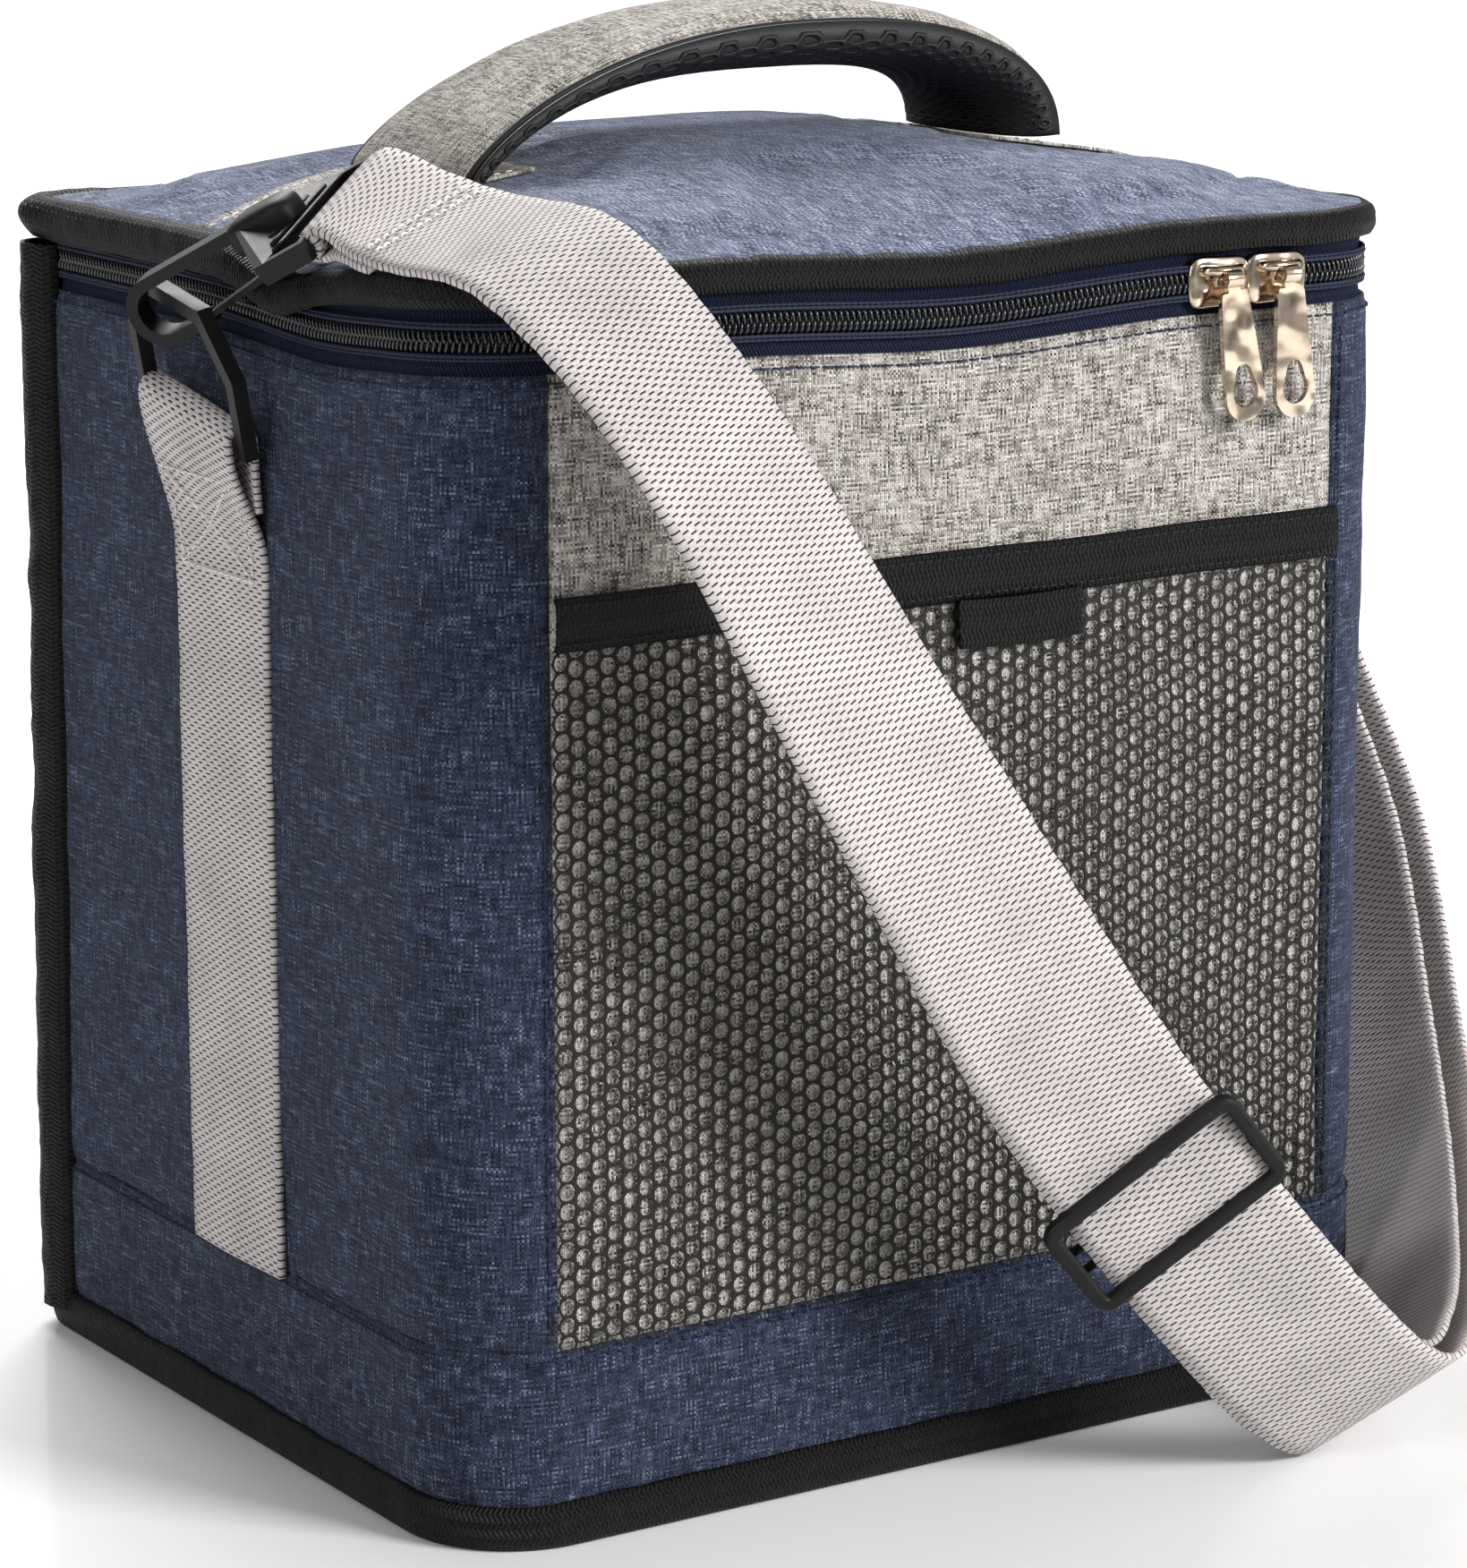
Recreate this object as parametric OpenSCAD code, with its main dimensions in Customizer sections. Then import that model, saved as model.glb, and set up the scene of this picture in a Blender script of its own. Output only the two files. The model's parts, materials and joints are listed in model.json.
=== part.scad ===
// Insulated cooler bag with a zipped lid, padded carry handle, net pocket and clip-on shoulder strap.
// Millimetres. Origin at the centre of the base on the floor, +Z up, front towards -Y.

/* [Body] */
// Outside width of the bag
body_w = 238; // [220:1:260]
// Outside depth of the bag
body_d = 187; // [170:1:205]
// Height of the sewn wall panels
wall_h = 240; // [225:1:260]
// Plan radius of the two front vertical corners
corner_r = 25; // [18:1:32]
// Plan radius of the two bound back corners
back_r = 7; // [5:1:10]
// Height of the seam above the base band
band_h = 41.7; // [30:0.1:55]

/* [Layers] */
// Thickness of the outer fabric
fabric_t = 1.2; // [0.8:0.1:1.6]
// Thickness of the closed-cell wall foam
foam_t = 6; // [4:0.5:8]
// Thickness of the foil liner
liner_t = 0.7; // [0.5:0.1:1]
// Free gap between neighbouring layers
gap = 0.3; // [0.2:0.05:0.4]

/* [Lid] */
// Height of the lid's edge above the floor at the standard wall height
lid_rise = 18.2; // [17.8:0.1:19]
// Rise of the padded lid at its middle
crown_h = 14.8; // [8:0.2:18]
// Height of the woven edge binding on the lid
binding_h = 4.8; // [4:0.2:5]

/* [Handle] */
// Distance between the handle's two feet
handle_span = 152; // [140:1:165]
// Width of the padded handle
handle_w = 46; // [38:1:50]
// Height of the handle's top above the lid's edge
handle_rise = 42.5; // [38:0.5:48]
// Thickness of the padded handle
handle_t = 10; // [8:0.5:12]
// Largest tilt of the handle to either side, in degrees
handle_tilt = 25; // [15:1:30]

/* [Pocket] */
// Half width of the grey front panel
panel_half = 97.5; // [88:0.5:98]
// Height of the pocket band's upper edge
pocket_top = 196.5; // [180:0.5:205]
// Height of the pocket band
pocket_band_h = 11; // [8:0.5:14]

/* [Webbing] */
// Width of the shoulder strap and side webbing
web_w = 40; // [38:1:41]
// Thickness of one layer of webbing
web_t = 1.7; // [1.4:0.1:2]

/* [Hidden] */
$fn = 48;

lid_z = wall_h + lid_rise;                  // top edge of the lid
chain_z = wall_h + 6.7;                     // middle of the closed zip chain
half_w = body_w / 2;
half_d = body_d / 2;
foam_in = fabric_t + gap;                   // inset of the foam's outer face
liner_in = foam_in + foam_t + gap;          // inset of the liner's outer face
tape_t = 0.8;
wall_top = wall_h - 8;                      // top of the foam and liner
zip_back = half_d - 14;                     // the zip stops here, ahead of the back corners
binding_out = 1.6;                          // bindings stand this far proud of the walls
navy = [0.16, 0.22, 0.38];
grey = [0.55, 0.53, 0.5];
black = [0.06, 0.06, 0.065];
silver = [0.78, 0.79, 0.8];
webbing_col = [0.8, 0.78, 0.75];
gold = [0.83, 0.76, 0.62];

// ---- plan shapes -------------------------------------------------------------------------

// The bag's plan, moved inwards by inset (outwards when negative)
module plan(inset) {
    w = half_w - inset;
    d = half_d - inset;
    rf = corner_r - inset;
    rb = max(back_r - inset, 0.8);
    translate([-w + rf, -d]) square([2 * (w - rf), 2 * d - rb]);
    translate([-w, -d + rf]) square([2 * w, 2 * d - rf - rb]);
    translate([-w + rb, 0]) square([2 * (w - rb), d]);
    for (side = [-1, 1]) {
        translate([side * (w - rf), -d + rf]) circle(rf);
        translate([side * (w - rb), d - rb]) circle(rb);
    }
}

// A wall that follows the plan between two insets and two heights
module ring_wall(outer, inner, z0, z1) {
    translate([0, 0, z0]) linear_extrude(z1 - z0) difference() {
        plan(outer);
        plan(inner);
    }
}

// A flat plate in plan, between two heights
module plate(inset, z0, z1) {
    translate([0, 0, z0]) linear_extrude(z1 - z0) plan(inset);
}

// A block given by its lowest and highest corners
module block(lo, hi) {
    translate(lo) cube(hi - lo);
}

// Mirrors the right-hand version of a part to the left
module left_side() {
    mirror([1, 0, 0]) children();
}

// ---- walls and base ----------------------------------------------------------------------

// Wall fabric of one side, with the front corner and its strip of the front
module side_wrap() {
    back_edge = half_d - 12.8;
    color(navy) intersection() {
        ring_wall(0, fabric_t, band_h + gap, wall_h);
        block([panel_half + gap, -half_d - 1, 0], [half_w + 1, back_edge, wall_h + 1]);
    }
}

module side_panel_right() side_wrap();

module side_panel_left() left_side() side_wrap();

module front_panel() {
    color(grey) block(
        [-panel_half, -half_d, band_h + gap],
        [panel_half, -half_d + fabric_t, wall_h]
    );
}

module back_panel() {
    edge = half_w - 9.3;
    color(navy) block([-edge, half_d - fabric_t, band_h + gap], [edge, half_d, wall_h]);
}

// Base height where the wall fabric meets the bottom binding
base_h = 9;

module base_band() {
    color(navy) ring_wall(0, fabric_t, base_h + gap, band_h);
}

module base_panel() {
    color(navy) plate(2.5, 0, 1.4);
}

module base_binding() {
    color(black) ring_wall(-binding_out, 2.2, 0, base_h);
}

module base_board() {
    color(black) plate(2.5, 1.7, 4);
}

module base_foam() {
    color("white") plate(liner_in, 4.3, 10.3);
}

module wall_foam() {
    color("white") ring_wall(2.5, liner_in - gap, 4.3, wall_top);
}

module liner_tub() {
    color(silver) {
        ring_wall(liner_in, liner_in + liner_t, 10.6, wall_top);
        plate(liner_in + liner_t / 2, 10.6, 10.6 + liner_t);
    }
}

// Bound seam that runs up a back corner
module back_fin() {
    side_reach = 12.5;
    back_reach = 9;
    color(black) intersection() {
        ring_wall(-binding_out, fabric_t, base_h + gap, chain_z - 1);
        difference() {
            block([half_w - back_reach, half_d - side_reach, 0], [half_w + 5, half_d + 5, lid_z]);
            block([0, 0, 0], [half_w + gap, half_d + gap, band_h + gap]);
        }
    }
}

module back_binding_right() back_fin();

module back_binding_left() left_side() back_fin();

// Fabric that joins the back wall to the lid; its sewn lower half
module hinge_strip() {
    edge = half_w - back_r - 8;
    y = half_d - foam_in;
    color(navy) block([-edge, y - tape_t, wall_top + gap], [edge, y, chain_z - 0.4]);
}

// ---- pocket ------------------------------------------------------------------------------

module pocket_mesh() {
    color(black) block(
        [-panel_half + 0.5, -half_d - 1.3, band_h + gap],
        [panel_half - 0.5, -half_d - gap, pocket_top - pocket_band_h - gap]
    );
}

module pocket_band() {
    color(black) block(
        [-panel_half, -half_d - 2, pocket_top - pocket_band_h],
        [panel_half, -half_d - gap, pocket_top]
    );
}

module label_tab() {
    tab_w = 31;
    tab_h = 9;
    top = pocket_top - pocket_band_h - gap;
    color(black) block([-2, -half_d - 2.6, top - tab_h], [tab_w - 2, -half_d - 1.6, top]);
}

// ---- zip ---------------------------------------------------------------------------------

coil_h = 1.5;                               // height of each half of the chain
chain_gap = 1.2;                            // gap in which a slider's web runs

// A band of the zip's U-shaped path: front and both sides
module zip_path(outer, inner, z0, z1) {
    intersection() {
        ring_wall(outer, inner, z0, z1);
        block([-body_w, -body_d, z0 - 1], [body_w, zip_back, z1 + 1]);
    }
}

module lower_zip_tape() {
    color(navy) zip_path(foam_in, foam_in + tape_t, wall_top + gap, chain_z - 2.3);
}

module lower_zip_coil() {
    z = chain_z - chain_gap / 2;
    color(navy) zip_path(0.6, 3, z - coil_h, z);
}

module upper_zip_coil() {
    z = chain_z + chain_gap / 2;
    color(navy) zip_path(0.6, 3, z, z + coil_h);
}

module upper_zip_tape() {
    color(navy) difference() {
        zip_path(foam_in, foam_in + tape_t, chain_z + 2.3, lid_z - 1.6);
        hook_dent();
    }
}

// ---- lid ---------------------------------------------------------------------------------

// Points of the plan's outline, anticlockwise, with steps points in each corner
function outline(inset, steps) = [
    for (c = [0:3], k = [0:steps - 1])
        let (
            front = c >= 2,
            side = (c == 0 || c == 3) ? 1 : -1,
            r = front ? corner_r - inset : max(back_r - inset, 0.8),
            a = 90 * (c + k / (steps - 1))
        )
        [
            side * (half_w - inset - r) + r * cos(a),
            (front ? -1 : 1) * (half_d - inset - r) + r * sin(a)
        ]
];

// Falls from 1 in the middle to 0 at the edge, where t is 1
function swell(t) = 1 - pow(min(abs(t), 1), 2.6);

// Height of the crown over the lid's edge at a place in plan
function crown(x, y) = crown_h * swell(x / half_w) * swell(y / half_d);

// A crowned sheet of the lid: drop is how far its top lies under the lid's surface
module crown_sheet(inset, drop, thick) {
    ring = outline(inset, 9);
    n = len(ring);
    rings = 9;
    full = 1 - inset / half_d;
    shares = [for (k = [1:rings]) full * k / rings];
    flat = [for (s = shares, p = ring) p * s / full];
    top = [for (p = flat) [p[0], p[1], lid_z - drop + crown(p[0], p[1])]];
    below = [for (p = top) p - [0, 0, thick]];
    count = n * rings;
    middle = [[0, 0, lid_z - drop + crown_h], [0, 0, lid_z - drop + crown_h - thick]];
    top_faces = [
        for (k = [0:rings - 2], i = [0:n - 1])
            let (a = k * n + i, b = k * n + (i + 1) % n)
            each [[a, b, b + n], [a, b + n, a + n]]
    ];
    fan = [for (i = [0:n - 1]) [2 * count, (i + 1) % n, i]];
    fan_below = [for (i = [0:n - 1]) [2 * count + 1, count + i, count + (i + 1) % n]];
    below_faces = [for (f = top_faces) [f[2] + count, f[1] + count, f[0] + count]];
    edge = (rings - 1) * n;
    rim = [
        for (i = [0:n - 1])
            let (a = edge + i, b = edge + (i + 1) % n)
            each [[a, b, b + count], [a, b + count, a + count]]
    ];
    polyhedron(concat(top, below, middle), concat(top_faces, fan, below_faces, fan_below, rim));
}

// Room for the left hook, which presses into the soft edge of the lid
module hook_dent() {
    dent_r = 7;
    translate(ring_top_left) rotate(hook_turn_left) translate([0, -hook_len, -0.6])
        rotate([-90, 0, 0]) cylinder(h = hook_len - 8, r = dent_r);
}

module lid_panel() {
    color(navy) difference() {
        crown_sheet(1.4, 0, fabric_t);
        hook_dent();
    }
}

module lid_foam() {
    color("white") difference() {
        crown_sheet(5, fabric_t + 3 * gap, foam_t);
        hook_dent();
    }
}

module lid_liner() {
    color(silver) crown_sheet(5, fabric_t + 4 * gap + foam_t, liner_t);
}

module lid_binding() {
    color(black) difference() {
        ring_wall(-binding_out, 1, lid_z - binding_h, lid_z + 0.2);
        hook_dent();
    }
}

// ---- handle ------------------------------------------------------------------------------

foot_x = handle_span / 2;
patch_t = 0.65;
patch_lift = 0.15;                          // the flat strips lie this far above the lid
// Height of the line about which the handle tilts, just above the strips at the inside of its feet
handle_base = lid_z + crown(foot_x - handle_t, 0) + patch_lift + patch_t + gap;
arch_h = lid_z + handle_rise - handle_base;

// Arch in the XZ plane, right to left: drop is how far inside the handle's outline it lies.
// The left end slopes up from the lid; the right end is a rounder shoulder.
top_x = 10;                                 // the arch is highest this far right of the middle

function arch(drop) = [
    for (a = [0:6:180])
        let (c = cos(a), s = sin(a))
        c > 0
            ? [top_x + (foot_x - drop - top_x) * pow(c, 0.8), (arch_h - drop) * pow(s, 0.8)]
            : [top_x + (foot_x - drop + top_x) * c, (arch_h - drop) * pow(s, 1.5)]
];

// A layer of the arch, between two depths under its outside, y from -half to half
module arch_layer(outer, inner, half) {
    outside = arch(outer);
    inside = arch(inner);
    n = len(outside);
    translate([0, half, handle_base]) rotate([90, 0, 0]) linear_extrude(2 * half)
        polygon(concat(outside, [for (i = [n - 1:-1:0]) inside[i]]));
}

// The room that a handle tilted to its limit leaves above the lid
module tilt_room() {
    reach = handle_w;
    translate([0, 0, handle_base]) rotate([90, 0, 90]) linear_extrude(2 * foot_x + 20, center = true)
        polygon([
            [0, 0],
            [reach, reach * tan(handle_tilt + 4)],
            [reach, 3 * reach],
            [-reach, 3 * reach],
            [-reach, reach * tan(handle_tilt + 4)]
        ]);
}

module handle_cover() {
    color(grey) intersection() {
        arch_layer(0, 1.4, handle_w / 2 - 2);
        tilt_room();
    }
}

module handle_foam() {
    color("white") intersection() {
        arch_layer(1.4 + gap, handle_t - 2 - gap, handle_w / 2 - 3);
        tilt_room();
    }
}

module handle_mesh() {
    color(black) intersection() {
        arch_layer(handle_t - 2, handle_t, handle_w / 2);
        tilt_room();
    }
}

// Flat strip that carries a foot of the handle out to the lid's edge
module patch() {
    half = 15;
    out = half_w - 3;
    steps = 8;
    xs = [for (k = [0:steps]) foot_x - 14 + (out - foot_x + 14) * k / steps];
    top = [for (x = xs) [x, lid_z + crown(x, 0) + patch_lift + patch_t]];
    under = [for (k = [steps:-1:0]) [xs[k], lid_z + crown(xs[k], 0) + patch_lift]];
    color(grey) translate([0, half, 0]) rotate([90, 0, 0]) linear_extrude(2 * half)
        polygon(concat(under, top));
}

module handle_patch_right() patch();

module handle_patch_left() left_side() patch();

// ---- zip sliders -------------------------------------------------------------------------

slider_len = 14;
slider_h = 11.4;
slider_x = [66, 81.2];                      // middles of the left and right slider, both parked right
coil_y = -half_d + 0.6;                     // outer face of the chain along the front
plate_y = coil_y - 0.4;
pin_y = plate_y - 4.4;                      // the pull hangs on a pin through the slider's bridge
pin_z = chain_z + 1;
pin_r = 0.9;
eye_len = 4;

module slider() {
    web_x = 3;
    back_y = coil_y + 2.4 + 0.5;
    color(gold) {
        block([-slider_len / 2, plate_y - 1.5, chain_z - slider_h / 2],
              [slider_len / 2, plate_y, chain_z + slider_h / 2]);
        block([-web_x, plate_y - 0.1, chain_z - 0.4], [web_x, back_y + 0.1, chain_z + 0.4]);
        block([-slider_len / 2 + 1, back_y, chain_z - slider_h / 2 + 1],
              [slider_len / 2 - 1, back_y + 1.2, chain_z + slider_h / 2 - 1]);
        for (side = [-1, 1]) {
            x = side * (eye_len / 2 + 1.1);
            block([x - 0.7, pin_y - 1.4, pin_z - 1.4], [x + 0.7, plate_y - 1, pin_z + 1.4]);
        }
        translate([-eye_len / 2 - 1.5, pin_y, pin_z]) rotate([0, 90, 0]) cylinder(h = eye_len + 3, r = pin_r);
    }
}

// The pull hangs from its eye and leans by lean degrees; its outline widens to a round end with a hole
module pull(lean) {
    end_r = 5.2;
    neck_r = 3.6;
    length = 25.4;
    thick = 1.3;
    hole_r = 2.7;
    translate([0, pin_y, pin_z]) color(gold) difference() {
        union() {
            translate([-eye_len / 2, 0, 0]) rotate([0, 90, 0]) cylinder(h = eye_len, r = 1.9);
            rotate([0, -lean, 0]) rotate([90, 0, 0]) translate([0, 0, -thick / 2])
                linear_extrude(thick) difference() {
                    hull() {
                        translate([0, -4.6]) circle(neck_r, $fn = 32);
                        translate([0, -length]) circle(end_r, $fn = 32);
                    }
                    hull() {
                        translate([0, -length + 5]) circle(hole_r - 0.6, $fn = 32);
                        translate([0, -length + 1]) circle(hole_r + 0.6, $fn = 32);
                    }
                    square([2 * neck_r + 1, 5.4], center = true);
                }
            rotate([0, -lean, 0]) block([-1.6, -thick / 2, -5], [1.6, thick / 2, -1.5]);
        }
        translate([-eye_len, 0, 0]) rotate([0, 90, 0]) cylinder(h = 2 * eye_len, r = pin_r + 0.3);
    }
}

module slider_left() translate([slider_x[0], 0, 0]) slider();

module slider_right() translate([slider_x[1], 0, 0]) slider();

module pull_left() translate([slider_x[0], 0, 0]) pull(9);

module pull_right() translate([slider_x[1], 0, 0]) pull(4.5);

// ---- side webbing and rings --------------------------------------------------------------

bar_r = 2.2;                                // round bars held in webbing loops
loop_clear = 0.35;
loop_r = bar_r + loop_clear + web_t;        // outside of a webbing loop
ring_lean = 14;                             // the rings lean out from the wall, in degrees
ring_tall = 26;                             // bar to top bar
side_y = 1.5;                               // middle of the side webbing and its ring
ring_bar = [half_w + 6.2, side_y, wall_h - 17.4];
left_roll = 10;                             // the pulled left ring dips towards the front

// Places a ring's own frame (x along its bar, y up the ring, z outwards) on the right wall
module ring_frame(roll) {
    translate(ring_bar) rotate([90 + ring_lean, roll, 90]) children();
}

module side_webbing(roll) {
    foot = half_w + 0.2;
    neck_z = ring_bar[2] - 12;
    neck_half = web_w / 2 - 1.4;
    color(webbing_col) {
        block([foot, side_y - web_w / 2, band_h + gap], [foot + web_t, side_y + web_w / 2, neck_z]);
        difference() {
            hull() {
                block([foot, side_y - neck_half, neck_z - 1], [foot + web_t, side_y + neck_half, neck_z]);
                ring_frame(roll) rotate([0, 90, 0])
                    cylinder(h = web_w - 1.5, r = loop_r, center = true, $fn = 32);
            }
            ring_frame(roll) rotate([0, 90, 0])
                cylinder(h = web_w + 20, r = bar_r + loop_clear, center = true);
        }
    }
}

module side_webbing_right() side_webbing(0);

module side_webbing_left() left_side() side_webbing(-left_roll);

// Shouldered ring: a round lower bar, two legs, two shoulders and a straight top bar
module ring() {
    half = 23.4;
    in_half = 20.2;
    top = ring_tall + 1.9;
    thick = 3.2;
    color(black) {
        translate([0, 0, -thick / 2]) linear_extrude(thick) difference() {
            polygon([[-half, -2.6], [half, -2.6], [half, 15], [12.5, top], [-12.5, top], [-half, 15]]);
            polygon([
                [-in_half, -3], [in_half, -3], [in_half, 13.6],
                [10.6, top - 3.4], [-10.6, top - 3.4], [-in_half, 13.6]
            ]);
        }
        rotate([0, 90, 0]) cylinder(h = 2 * in_half + 1, r = bar_r, center = true);
    }
}

module ring_right() ring_frame(0) ring();

module ring_left() left_side() ring_frame(-left_roll) ring();

// ---- hooks -------------------------------------------------------------------------------

hook_len = 45;                              // base bar to the middle of the hook's bow
bow_half = 5.1;                             // half height of the bow's opening
bow_wall = 2.6;
bow_mid = 3;                              // centre of the bow's round end, past the ring's bar
bow_w = 5.6;                                // width of the hook at its bow
hook_back = -24;                            // where the bow ends and the flared base begins
lip_end = -5;                               // where the return lip ends

// Where the top bar of a ring passes through its hook
ring_top_right = ring_bar + ring_tall * [sin(ring_lean), 0, cos(ring_lean)];
ring_top_left = [
    -ring_bar[0] - ring_tall * sin(ring_lean),
    ring_bar[1] - ring_tall * cos(ring_lean) * sin(left_roll),
    ring_bar[2] + ring_tall * cos(ring_lean) * cos(left_roll)
];
hook_turn_left = [-29.2, -18, 39];          // the left hook lies over the lid's edge
hook_turn_right = [78, 0, 90];              // the right hook hangs down beside the wall

// Hook in its own frame: x along its base bar, y towards the nose, z towards the spine
module hook() {
    base_half = 20.6;
    leg = 2.6;
    height = bow_half + bow_wall;
    color(black) {
        // bow: spine, round nose and return lip
        translate([-bow_w / 2, 0, 0]) rotate([90, 0, 90]) linear_extrude(bow_w) {
            translate([hook_back, bow_half]) square([bow_mid - hook_back, bow_wall]);
            translate([lip_end, -height]) square([bow_mid - lip_end, bow_wall]);
            translate([bow_mid, 0]) difference() {
                circle(height);
                circle(bow_half);
                translate([-2 * height, -height]) square([2 * height, 2 * height]);
            }
        }
        // flared base that carries the bar's two legs
        hull() {
            block([-bow_w / 2, hook_back, bow_half], [bow_w / 2, hook_back + 1, height]);
            block([-base_half - leg, -37, -1.5], [base_half + leg, -34.5, 2.2]);
        }
        for (side = [-1, 1])
            translate([side * (base_half + leg / 2), -hook_len + 4, 0])
                cube([leg, 12, 2 * bar_r], center = true);
        translate([0, -hook_len, 0]) rotate([0, 90, 0])
            cylinder(h = 2 * base_half + 1, r = bar_r, center = true);
    }
}

// Spring tongue that closes the bow: it turns on a round root under the flared base
gate_root = [-32.5, -2.8];

module gate() {
    half = 2.2;
    tip = lip_end - 0.6;
    color(black) {
        translate([0, gate_root[0], gate_root[1]]) rotate([0, 90, 0])
            cylinder(h = 2 * half, r = 1.4, center = true);
        translate([-half, 0, 0]) rotate([90, 0, 90]) linear_extrude(2 * half)
            polygon([[gate_root[0], -4.1], [tip, -6.5], [tip, -5.3], [gate_root[0], -2.5]]);
    }
}

module hook_left() translate(ring_top_left) rotate(hook_turn_left) hook();

module hook_right() translate(ring_top_right) rotate(hook_turn_right) hook();

module gate_left() translate(ring_top_left) rotate(hook_turn_left) gate();

module gate_right() translate(ring_top_right) rotate(hook_turn_right) gate();

// ---- shoulder strap ----------------------------------------------------------------------

// Direction that a hook's own y axis points in
function hook_dir(t) = [
    cos(t[2]) * sin(t[1]) * sin(t[0]) - sin(t[2]) * cos(t[0]),
    sin(t[2]) * sin(t[1]) * sin(t[0]) + cos(t[2]) * cos(t[0]),
    cos(t[1]) * sin(t[0])
];

bar_left = ring_top_left - hook_len * hook_dir(hook_turn_left);
bar_right = ring_top_right - hook_len * hook_dir(hook_turn_right);

// The strap's middle line as it lies: from the left hook over the lid's front corner, down across
// the front, round the front right corner near the floor and up to the right hook. Each row is
// x, y, z, then the bearing and the tilt of the strap's width, in degrees.
route = [
    concat(bar_left, [39, 18]),
    concat(bar_left + [3, -6, 1], [36, 18]),
    [-104, -62, 265.5, 20, 15],
    [-97, -96, 262, 14, 15],
    [-80, -122, 230, 18, 18],
    [-46, -138, 164, 10, 29],
    [4, -141, 86, -20, 34],
    [60, -144, 22, -33, 31],
    [86, -136, 17, -46, 40],
    [126, -94, 32, -69, 48],
    [154, -50, 59, -74, 39],
    [167, -18, 101, -77, 27],
    [157, 0, 151, -81, 14],
    concat(bar_right, [-90, 0])
];
legs = len(route) - 1;
double_from = 6.3;                          // beyond this leg of the route the strap lies double

// Smooth curve through rows of numbers, at a place s between 0 and the last row
function row(i) = route[min(max(i, 0), legs)];

function along(s) =
    let (
        i = min(floor(s), legs - 1),
        t = s - i,
        a = row(i - 1),
        b = row(i),
        c = row(i + 1),
        d = row(i + 2)
    )
    0.5 * (2 * b + (c - a) * t + (2 * a - 5 * b + 4 * c - d) * t * t + (3 * b - a - 3 * c + d) * t * t * t);

function place(s) = let (r = along(s)) [r[0], r[1], r[2]];

function unit(v) = v / norm(v);

function heading(s) = unit(place(min(s + 0.02, legs)) - place(max(s - 0.02, 0)));

// Direction of the strap's width
function across(s) =
    let (r = along(s))
    [cos(r[4]) * cos(r[3]), cos(r[4]) * sin(r[3]), sin(r[4])];

// Thickness of the strap: one layer, or two with air between them
function thickness(s) =
    let (t = min(max((s - double_from) / 0.3, 0), 1))
    web_t + (web_t + 0.5) * t;

// The four corners of the strap's section
function section(s) =
    let (
        p = place(s),
        w = across(s) * (web_w - 1) / 2,
        n = unit(cross(w, heading(s))) * thickness(s) / 2
    )
    [p - w - n, p + w - n, p + w + n, p - w + n];

module strap_band(s0, s1, steps) {
    places = [for (k = [0:steps]) s0 + (s1 - s0) * k / steps];
    points = [for (s = places) each section(s)];
    sides = [
        for (k = [0:steps - 1], i = [0:3])
            let (a = 4 * k + i, b = 4 * k + (i + 1) % 4)
            each [[a, b + 4, a + 4], [a, b, b + 4]]
    ];
    last = 4 * steps;
    ends = [[2, 1, 0], [3, 2, 0], [last, last + 1, last + 2], [last, last + 2, last + 3]];
    polyhedron(points, concat(sides, ends));
}

// Sewn loop of webbing round a hook's base bar
module hook_loop(turn, at) {
    translate(at) rotate(turn) rotate([0, 90, 0]) difference() {
        cylinder(h = web_w - 1, r = loop_r, center = true);
        cylinder(h = web_w + 1, r = bar_r + loop_clear, center = true);
    }
}

module shoulder_strap() {
    start = 0.6;
    finish = 0.11;
    color(webbing_col) {
        strap_band(start, legs - finish, 96);
        hook_loop(hook_turn_left, bar_left);
        hook_loop(hook_turn_right, bar_right);
    }
}

// Three-bar slide: outer frame over the strap and a middle bar under it
glide_at = 6.25;

module triglide() {
    h = -heading(glide_at);
    w = unit(across(glide_at) - (across(glide_at) * h) * h);
    n = cross(w, h);
    turn = [atan2(h[2], n[2]), -asin(w[2]), atan2(w[1], w[0])];
    half = [24, 12.2];
    in_half = [20.6, 8];
    post = 1.7;
    bar = 4.2;
    clear = web_t + 0.9;                    // frame and bar keep this far from the strap's middle
    thick = 2.4;
    color(black) translate(place(glide_at)) rotate(turn) {
        translate([0, 0, clear]) linear_extrude(thick) difference() {
            square(2 * half, center = true);
            square(2 * in_half, center = true);
        }
        for (side = [-1, 1]) {
            x = side * (half[0] - post);
            block([x - post, -bar / 2, -clear - thick], [x + post, bar / 2, clear + thick / 2]);
        }
        translate([0, 0, -clear - thick]) linear_extrude(thick) square([2 * half[0], bar], center = true);
    }
}

// ---- nodes -------------------------------------------------------------------------------

side_panel_left();
side_panel_right();
front_panel();
back_panel();
base_band();
base_panel();
base_binding();
base_board();
base_foam();
wall_foam();
liner_tub();
back_binding_left();
back_binding_right();
hinge_strip();
pocket_mesh();
pocket_band();
label_tab();
lower_zip_tape();
lower_zip_coil();
upper_zip_tape();
upper_zip_coil();
side_webbing_left();
side_webbing_right();
lid_panel();
lid_foam();
lid_liner();
lid_binding();
handle_patch_left();
handle_patch_right();
handle_cover();
handle_foam();
handle_mesh();
slider_left();
slider_right();
pull_left();
pull_right();
ring_left();
ring_right();
hook_left();
hook_right();
gate_left();
gate_right();
shoulder_strap();
triglide();
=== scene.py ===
import json
import math
import random

import bmesh
import bpy
import numpy as np
from mathutils import Matrix, Vector, noise


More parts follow.
